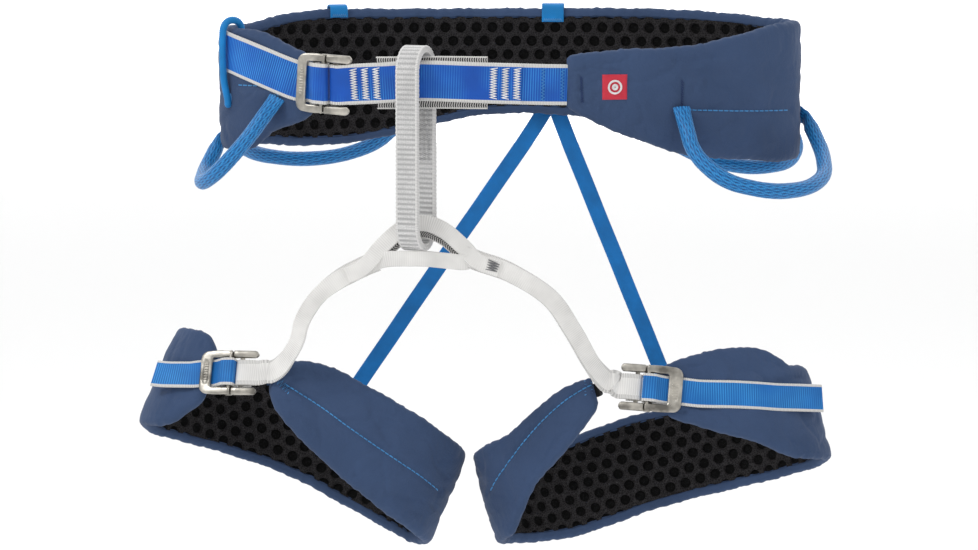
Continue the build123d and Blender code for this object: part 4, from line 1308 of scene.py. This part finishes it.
# each strap's route from the eye to its leg loop, the direction across it at each place,
# and which way along x it runs
STRAPS = {
    "leg_right": (
        [EYE_RIGHT + vec(-9, 1.0, 3.6), EYE_RIGHT + vec(0.6, 0, -0.2), RIGHT_RUN, (27, -76, -138),
         (43, -68, -162), (56, -58, -186), (66, -51, -199.5), (70, -50, -201.5), (73.0, -50, -201.5)],
        [(0.35, 0, 0.9), (0.35, 0, 0.9), (0.4, 0, 0.9), (0.7, 0.1, 0.7), (0.85, 0.3, 0.4),
         (0.75, 0.45, 0.45), (0.35, 0.35, 0.85), (0.1, 0.3, 0.95), (0, 0.3, 0.95)],
        1,
    ),
    "leg_left": (
        [EYE_LEFT + vec(9, 1.0, 3.6), EYE_LEFT + vec(-0.6, 0, -0.2), LEFT_RUN, (-133, -76, -137),
         (-144, -70, -154), (-149, -63, -171), (-159, -55, -187.5), (-167, -52.5, -193.5),
         (-171.6, -52.5, -193.5)],
        [(-0.5, 0, 0.85), (-0.5, 0, 0.85), (-0.5, 0, 0.85), (-0.6, 0.1, 0.75), (-0.8, 0.35, 0.45),
         (-0.75, 0.5, 0.4), (-0.45, 0.35, 0.8), (-0.1, 0.2, 0.95), (0, 0.2, 0.97)],
        -1,
    ),
}
STRAP_WAIST = {"leg_right": 0.68, "leg_left": 0.6}  # how far each strap folds in along its middle


def build_band(name, node, route, sides, end_forward, forward, width):
    """One band of the eye, its ends carried on along the straps and stacked on their face."""
    middle = [vec(point) + FRONT * forward for point in route[1:-1]]
    route = [
        EYE_LEFT + (LEFT_RUN - EYE_LEFT) * 0.72, EYE_LEFT, *middle, EYE_RIGHT,
        EYE_RIGHT + (RIGHT_RUN - EYE_RIGHT) * 0.66,
    ]
    for end in (0, 1, -2, -1):
        route[end] = route[end] + FRONT * end_forward
    strip = Strip(route, [sides[0], *sides, sides[-1]], FRONT)
    web_piece(
        name, WHITE_WEB, strip, width, 1.8, "waistbelt", "white_webbing", node,
        rib=1.5, ridge=0.08, selvage=1.2,
    )


def build_bridge():
    """The eye's two bands and the liner under the upper one."""
    build_band("bridge_top", "bridge_upper_band", UPPER_ROUTE, UPPER_SIDES, 2.1, 1.1, 11.5)
    liner = Strip([vec(point) + vec(0, 0.8, -5.6) for point in UPPER_ROUTE[1:-1]], UPPER_SIDES[1:-1], FRONT)
    web_piece(
        "bridge_liner", LINER, liner, 10.5, 1.8, "waistbelt", "hatched_liner", "bridge_upper_liner",
        rib=1.7, ridge=0.08, selvage=1.2,
    )
    build_band("bridge_bottom", "bridge_lower_band", LOWER_ROUTE, LOWER_SIDES, -1.9, -1.1, 11)


def upwards(plane):
    """The direction across the webbing in a buckle, pointing up."""
    return plane.y if plane.y[2] > 0 else -plane.y


def build_straps():
    """One white strap from the eye to each leg loop's buckle, and the grey bartack on the right one."""
    threads = Mesher()
    for name, (route, sides, way) in STRAPS.items():
        plane = BUCKLE_PLANES[name]
        pivot = route[-1]
        into = [plane.at(-13, 0, 2.0), plane.at(-8, 0, 2.6)] + plane_route(plane, FOLD_ROUTE)
        strip = Strip(route + into, sides + [upwards(plane)] * len(into), FRONT)
        turn_at = strip.length - 26
        slim = STRAP_WAIST[name]
        taper = ([0, 22, 45, turn_at - 30, turn_at, strip.length], [0.74, 0.74, slim, slim, 0.95, 1.0])
        piece = web_piece(
            f"{name}_white_strap", WHITE_WEB, strip, 19, 2.3, None, "white_webbing", f"{name}_strap",
            f"{name}_strap_end", rib=1.5, ridge=0.09, selvage=1.6, layers=2, taper=taper,
        )
        start, end = pivot - vec(way * 24, 0, 0), pivot + vec(way, 0, 0)
        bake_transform(piece)
        if name == "leg_right":
            zigzag(threads, strip, 17, 25, -3.4, 3.4, 1.5, 0.4, 3.0)
    piece = threads.make("bridge_stitching", GREY_THREAD)
    finish_piece(piece, "waistbelt", "white_thread", "bridge_bartacks")


build_bridge()
build_straps()


# ---- leg webbing --------------------------------------------------------------------------
# the free tails' places in each pad's own plane
LEG_TAILS = {
    "leg_left": [(-91, -39, 5), (-100, -34.5, 2), (-108, -30, -0.5), (-115, -26, -2)],
    "leg_right": [
        (46, -59.2, 29), (66, -54, 23.5), (84, -46.8, 18.5), (98, -39.5, 14.5), (113, -31, 11), (128, -22, 7.5),
    ],
}
# (x, z) of each black loop, and which way along x it runs inwards
TIP_LOOPS = {"leg_left": (-38, 25, 1), "leg_right": (-26, 53, -1)}


def build_leg_webbing(name):
    """The adjusting webbing's turn and free tail, and the black loop behind the strap."""
    pad, plane = PADS[name], BUCKLE_PLANES[name]
    _, _, bar_start, bar_end = BUCKLE_SIZES[name]
    places = [(22, -1.3), (17, -1.15), *TURN_ROUTE, (16.0, 4.0), (bar_start - 0.5, 1.6), (bar_end, 1.4)]
    turned = plane_route(plane, places)
    free = [pad.local(vec(place)) for place in LEG_TAILS[name]]
    sides = [upwards(plane)] * len(turned) + [unit(pad.z + pad.x * 0.2)] * len(free)
    strip = Strip(turned + free, sides, FRONT)
    web_piece(
        f"{name}_tail", LEG_BLUE, strip, 20, 1.5, name, "blue_webbing", f"{name}_tail_webbing", selvage=1.7
    )

    x, z, inwards = TIP_LOOPS[name]
    places = [(7, -8.6), (0, -8.4), (-3.5, -7.2), (-5, -4), (-5, -1.6)]
    loop = Strip([on_pad(pad, x + along * inwards, offset, z) for along, offset in places], pad.z, FRONT)
    web_piece(
        f"{name}_black_loop", BLACK_TAPE, loop, 10, 1.3, name, "black_tape", f"{name}_tip_loop",
        rib=1.2, ridge=0.08, selvage=0.4,
    )


for name in ("leg_left", "leg_right"):
    build_leg_webbing(name)


# ---- risers -------------------------------------------------------------------------------
RISER_TOP = -26.0
# x of each riser's top, and (x, z) of its foot on the leg loop
RISERS = {"leg_left": (23.5, 20, 43.5), "leg_right": (36.5, 27, 46.5)}
BACK = vec(0, 1, 0)
FLAT_ELASTIC = {"rib": 1.2, "ridge": 0.06, "selvage": 0.5}


def build_riser(name, top_x, foot_x, foot_z):
    """One elastic riser from the back of the belt to the back of a leg loop, and the tab it ends in."""
    pad = PADS[name]
    foot = on_pad(pad, foot_x, 1.0, foot_z, 1)
    top = vec(top_x, 79.2, RISER_TOP)
    way = unit(top - foot)
    flat = np.cross(way, BACK)
    inner_top = vec(top_x * 0.5 + 15, 79.6, RISER_TOP + 14)
    route = [foot - pad.z * 4, foot + way * 4, (foot + top) / 2, top - way * 2, inner_top]
    piece = web_piece(
        f"{name}_back_riser", RISER_TAPE, Strip(route, flat, BACK), 11.6, 1.7, None, "riser_blue",
        f"{name}_riser", **FLAT_ELASTIC,
    )
    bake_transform(piece)

    low = on_pad(pad, foot_x, 1.2, foot_z - 22, 1)
    tab = Strip([low, foot - pad.z * 8 + unit(foot - pad.origin) * 0.4, foot + way * 5], flat, BACK)
    mesher = Mesher()
    weave(mesher, tab, 14, 1.3, **FLAT_ELASTIC)
    zigzag(mesher, tab, 2, 7, -5.5, 5.5, 1.3, 0.3, 0.8, kind=1)
    piece = mesher.make(f"{name}_riser_foot", RISER_TAPE, BLUE_THREAD)
    finish_piece(piece, name, "riser_blue", f"{name}_riser_tab")


def build_riser_anchor():
    """The sewn patch on the back of the belt that holds both risers."""
    x = 30
    side = np.cross(ring_outward(WAIST, x, 1), UP)
    anchor = Strip([ring_point(WAIST, x, 1.7, z, 1) for z in (-8, -16, RISER_TOP + 0.5)], side, BACK)
    mesher = Mesher()
    weave(mesher, anchor, 25, 1.5, **FLAT_ELASTIC)
    for start in (1.5, 8.5):
        zigzag(mesher, anchor, start, start + 3.5, -10, 10, 1.6, 0.3, 0.9, kind=1)
    piece = mesher.make("riser_patch", RISER_TAPE, BLUE_THREAD)
    finish_piece(piece, "waistbelt", "riser_blue", "riser_anchor")


for name, places in RISERS.items():
    build_riser(name, *places)
build_riser_anchor()


# ---- gear loops ---------------------------------------------------------------------------
CORD = 10.5
CORD_STAND = CORD / 2 + 1.7


def beside_belt(x, z, side):
    """Where a gear loop's end sits: over a sewn patch on the belt."""
    return ring_point(WAIST, x, 0, z, side) + ring_outward(WAIST, x, side) * CORD_STAND


# corners of each gear loop; its ends are (x, z, front or back) places on the belt
GEAR_LOOPS = {
    "front_right": [
        (117, -14, -1), (124, -87, -37), (145, -100, -55), (178, -96, -62.5),
        (204, -78, -62), (219, -50, -56), (220, -16, -42), (204.5, -22, 1),
    ],
    "front_left": [
        (-163, -8, -1), (-182, -66, -30), (-203, -58, -53), (-217, -34, -64), (-217, 6, -57), (-201, -38, 1),
    ],
    "rear_right": [
        (191, -22, 1), (210, 52, -44), (206, 76, -60), (182, 94, -66), (150, 102, -62), (118, 97, -46),
        (98, -20, 1),
    ],
    "rear_left": [
        (-182, -22, 1), (-200, 56, -42), (-188, 80, -54), (-158, 97, -60), (-125, 103, -58), (-94, 97, -46),
        (-74, -22, 1),
    ],
}


def rounded_route(corners):
    """Straight runs joined by curves that use 45 percent of the shorter run on each side."""
    route = [corners[0]]
    for before, corner, after in zip(corners, corners[1:], corners[2:]):
        into, out = corner - before, after - corner
        reach = 0.45 * min(np.linalg.norm(into), np.linalg.norm(out))
        start, end = corner - unit(into) * reach, corner + unit(out) * reach
        for t in np.linspace(0, 1, 12):
            route.append(start * (1 - t) ** 2 + corner * 2 * t * (1 - t) + end * t**2)
    route.append(corners[-1])
    return np.array(route)


def cord_route(places, corners):
    """A gear loop's middle line, its ends bent in to lie along the belt."""
    route = rounded_route(corners)
    ends = []
    for (x, _, side), corner, inner in ((places[0], *corners[:2]), (places[-1], *corners[:-3:-1])):
        outward = ring_outward(WAIST, x, side)
        back = unit(corner - inner)
        back = unit(back - outward * np.sum(back * outward))
        ends.append([corner - outward * 2.6 + back * 3.6, corner - outward * 5.0 + back * 7])
    start = smooth_route(ends[0][::-1] + [route[0], route[3]], 8)[:-1]
    end = smooth_route([route[-3], route[-1]] + ends[1], 8)
    (route,), along = resample(np.vstack([start, route[3:-3], end]), 0.55)
    route[2:-2] = (route[:-4] + route[1:-3] + route[2:-2] + route[3:-1] + route[4:]) / 5
    return route, along


STRANDS, STRAND_LAY, STRAND_POINTS = 16, 0.28, 6


def braid_crown(along, turn):
    """Height of the braid's strands, from 0 in the gaps to 1: two families crossing over and under."""
    half_turns = STRANDS * turn[None, :] / 2
    lay = along[:, None] * STRAND_LAY
    left, right = np.abs(np.sin(half_turns + lay)), np.abs(np.sin(half_turns - lay))
    over = np.cos(along[:, None] * 0.7 + half_turns) > 0
    crown = np.where(over, np.maximum(left, 0.62 * right), np.maximum(right, 0.62 * left)) ** 0.7
    grain = 0.5 + 0.5 * np.sin(along[:, None] * 2 * math.pi / 1.6 + STRANDS * turn[None, :])
    return crown * (0.74 + 0.26 * grain)


def build_gear_loop(name, places):
    """A braided sheath over a stiff core, flattened where its ends are sewn to the belt."""
    corners = [beside_belt(*places[0])] + [vec(p) for p in places[1:-1]] + [beside_belt(*places[-1])]
    route, along = cord_route(places, corners)
    ahead = unit(np.gradient(route, axis=0))
    outward = unit(np.stack([route[:, 0] / WAIST[0] ** 2, route[:, 1] / WAIST[1] ** 2, 0 * along], 1))
    lift = unit(outward - ahead * np.sum(outward * ahead, 1, keepdims=True))
    side = np.cross(ahead, lift)
    near_end = np.clip(np.minimum(along, along[-1] - along) / 17, 0, 1)
    thick = CORD / 2 * (0.28 + 0.72 * near_end**1.3)
    wide = CORD / 2 * (1.18 - 0.18 * near_end) * (1 + 0.03 * wobble(along * 0.09, seed=2.0))
    turn = np.linspace(0, 2 * math.pi, STRANDS * STRAND_POINTS, endpoint=False)
    crown = braid_crown(along, turn)
    bulge = 0.4 * (crown - 0.6)
    across = np.cos(turn)[None, :] * (wide[:, None] + bulge)
    out = np.sin(turn)[None, :] * (thick[:, None] + bulge)
    points = route[:, None] + across[..., None] * side[:, None] + out[..., None] * lift[:, None]
    mesher = Mesher()
    mesher.add(points, capped_faces(len(route), len(turn)), crown=crown)
    piece = mesher.make(f"gear_cord_{name}", BRAID)
    middle = (corners[0] + corners[-1]) / 2
    far = corners[len(corners) // 2]
    axis = unit(corners[-1] - corners[0])
    down = unit((far - middle) - axis * np.sum((far - middle) * axis))
    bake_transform(piece)
    finish_piece(piece, None, "bright_cord", f"gear_loop_{name}_sheath", f"gear_loop_{name}_core")


for name, places in GEAR_LOOPS.items():
    build_gear_loop(name, places)


# ---- stitching on the pads ----------------------------------------------------------------
class Surface:
    """Finds the finished fabric under a place on a pad."""

    def __init__(self, pad):
        self.pad = pad
        mesh = bpy.data.objects[f"{pad.name}_fabric"].data
        corners = [v.co for v in mesh.vertices]
        self.tree = BVHTree.FromPolygons(corners, [tuple(p.vertices) for p in mesh.polygons])

    def at(self, x, z, height, side=-1):
        """A point a given height over the fabric."""
        flat = ring_outward(self.pad.size, x, side)
        outward = unit(flat[0] * self.pad.x + flat[1] * self.pad.y)
        start = on_pad(self.pad, x, 0, z, side) + outward * 12
        hit = self.tree.ray_cast(Vector(start * MM), Vector(-outward), 30 * MM)
        base = vec(hit[0]) / MM if hit[0] is not None else start - outward * 12
        return base + outward * height


def stitch_line(mesher, surface, places):
    """A dashed seam along (x, z) places of a pad's front."""
    stitch, gap = 2.5, 1.2
    line = spline_through(places, 200)
    along = lengths_along(line)
    for start in np.arange(0, along[-1] - stitch, stitch + gap):
        s = start + stitch * np.linspace(0, 1, 5)
        x, z = np.interp(s, along, line[:, 0]), np.interp(s, along, line[:, 1])
        heights = (-0.15, 0.2, 0.3, 0.2, -0.15)
        tube(mesher, [surface.at(*place) for place in zip(x, z, heights)], 0.46)


def pad_bartack(mesher, surface, start, end, width, pitch, radius=0.32, kind=0, side=-1):
    """A zigzag bar of thread between two (x, z) places of a pad."""
    start, end = vec(start), vec(end)
    way = unit(end - start)
    across = vec(-way[1], way[0])
    count = int(np.linalg.norm(end - start) / pitch)
    path = []
    for number in range(count + 1):
        x, z = start + (end - start) * number / count + across * (width / 2) * (1 if number % 2 else -1)
        path.append(surface.at(x, z, 0.2, side))
    tube(mesher, path, radius, kind=kind)


# start, end, width, pitch, thread radius and material number of each bar on the belt's front
BELT_BARS = [
    ((48.1, 14.5), (48.9, -3.0), 1.4, 0.9, 0.35, 1), ((118.2, 11), (118.2, -9), 1.5, 0.8, 0.32, 1),
    ((112, -9.2), (124, -9.4), 1.8, 0.8), ((-167, -1), (-157, 1), 1.8, 0.8),
]
# (x, z) of the bars over the gear loops' ends on the belt's back
CORD_BARS = [(204, -12), (-201, -28), (191, -12), (98, -11), (-182, -11), (-74, -11)]
LEG_BARS = {"leg_left": ((-36, 23), (-22, 18)), "leg_right": ((-28, 60), (-30, 50))}
LABEL_AT, LABEL_HALF, LABEL_POINTS = (71.0, 7.5), 8.6, 25
LABEL_RINGS = [(4.3, 0.75), (1.3, 1.0)]  # radius of each ring of thread, and of its thread


def build_belt_stitching(belt):
    """Seams and bartacks on the belt."""
    mesher = Mesher()
    for seam in SEAMS["waistbelt"][:2]:
        stitch_line(mesher, belt, seam)
    for bar in BELT_BARS:
        pad_bartack(mesher, belt, *bar)
    for x, z in CORD_BARS:
        reach = 5.0 * abs(ring_outward(WAIST, x, 1)[1]) + 0.6
        pad_bartack(mesher, belt, (x - reach, z), (min(x + reach, WAIST[0] - 0.4), z), 1.8, 0.8, side=1)
    piece = mesher.make("belt_stitching", BLUE_THREAD, NAVY_THREAD)
    finish_piece(piece, "waistbelt", "white_thread", "gear_loop_patches")


def build_leg_stitching(name, start, end):
    """The seam along a leg loop's front, and the bartack at its tip."""
    surface = Surface(PADS[name])
    mesher = Mesher()
    stitch_line(mesher, surface, SEAMS[name][0])
    pad_bartack(mesher, surface, start, end, 5.0, 1.2, 0.36)
    finish_piece(mesher.make(f"{name}_stitching", BLUE_THREAD, NAVY_THREAD), name, "white_thread")


def build_label(belt):
    """The red patch on the belt, with a ring and a dot of white thread."""
    x, z = LABEL_AT
    u = np.linspace(-1, 1, LABEL_POINTS)
    uu, vv = np.meshgrid(u, u, indexing="ij")
    edge = np.maximum(np.abs(uu), np.abs(vv))
    height = 1.0 - 0.9 * np.clip((edge - 0.86) / 0.14, 0, 1) ** 2
    places = zip((x + uu * LABEL_HALF).ravel(), (z + vv * LABEL_HALF).ravel(), height.ravel())
    mesher = Mesher()
    mesher.add([belt.at(*place) for place in places], grid_faces(LABEL_POINTS, LABEL_POINTS))
    for radius, thread in LABEL_RINGS:
        turns = np.linspace(0, 2 * math.pi, 33)
        ring = [belt.at(x + radius * math.cos(turn), z + radius * math.sin(turn), 1.05) for turn in turns]
        tube(mesher, ring, thread, around=8, kind=1)
    finish_piece(mesher.make("belt_label", RED_LABEL, WHITE_THREAD), "waistbelt", "red_label", "side_label")


belt_surface = Surface(PADS["waistbelt"])
build_belt_stitching(belt_surface)
for name, bar in LEG_BARS.items():
    build_leg_stitching(name, *bar)
build_label(belt_surface)


# ---- studio -------------------------------------------------------------------------------
SENSOR, DISTANCE, ELEVATION = 36, 2.2, math.radians(8)
VIEW_WIDTH = 0.69857  # metres across the picture at the harness
TARGET = Vector((-0.015, 0, -0.1327))
FLOOR = -0.62
# place, size and power of each soft light
LIGHTS = {
    "key_light": ((-1.5, -1.1, 1.9), 0.9, 24),
    "fill_light": ((1.9, -1.2, 0.8), 1.4, 3),
    "rim_light": ((0.4, 1.8, 1.6), 1.6, 6),
    "low_light": ((0.1, -1.5, -0.4), 1.0, 1.0),
}


def place_camera():
    """A long lens in front of the harness, looking a little down."""
    data = bpy.data.cameras.new("camera")
    data.sensor_width = SENSOR
    data.lens = SENSOR * DISTANCE / VIEW_WIDTH
    data.clip_end = 50
    camera = bpy.data.objects.new("camera", data)
    bpy.context.scene.collection.objects.link(camera)
    back = Vector((0, -math.cos(ELEVATION), math.sin(ELEVATION)))
    camera.location = TARGET + back * DISTANCE
    camera.rotation_euler = (-back).to_track_quat("-Z", "Y").to_euler()
    bpy.context.scene.camera = camera


def stage_plane(name, colour, scale, size, **placing):
    """A large plane of studio paper; returns its material's nodes."""
    n = Nodes(f"{name}_paper", colour, 0.9)
    n.bump(n.noise(scale, 2), 0.05, 0.002)
    bpy.ops.mesh.primitive_plane_add(size=size, **placing)
    plane = bpy.context.object
    plane.name = name
    plane.data.materials.append(n.material)
    return n


def place_lights():
    """An even white sky and the soft lights, all turned to the harness."""
    world = bpy.data.worlds.new("studio_world")
    bpy.context.scene.world = world
    world.use_nodes = True
    sky = world.node_tree.nodes["Background"]
    sky.inputs["Color"].default_value = (1, 1, 1, 1)
    sky.inputs["Strength"].default_value = 0.7
    for name, (place, size, power) in LIGHTS.items():
        data = bpy.data.lights.new(name, "AREA")
        data.size = size
        data.energy = power
        lamp = bpy.data.objects.new(name, data)
        bpy.context.scene.collection.objects.link(lamp)
        lamp.location = place
        lamp.rotation_euler = (TARGET - Vector(place)).to_track_quat("-Z", "Y").to_euler()


place_camera()
stage_plane("studio_floor", grey(0.93), 9, 30, location=(0, 0, FLOOR))
screen = stage_plane("studio_backdrop", grey(0.9), 5, 24, location=(0, 6, 0), rotation=(math.pi / 2, 0, 0))
screen.shader.inputs["Emission Color"].default_value = (1, 1, 1, 1)
screen.shader.inputs["Emission Strength"].default_value = 0.75
place_lights()
bpy.context.scene.view_settings.view_transform = "Standard"
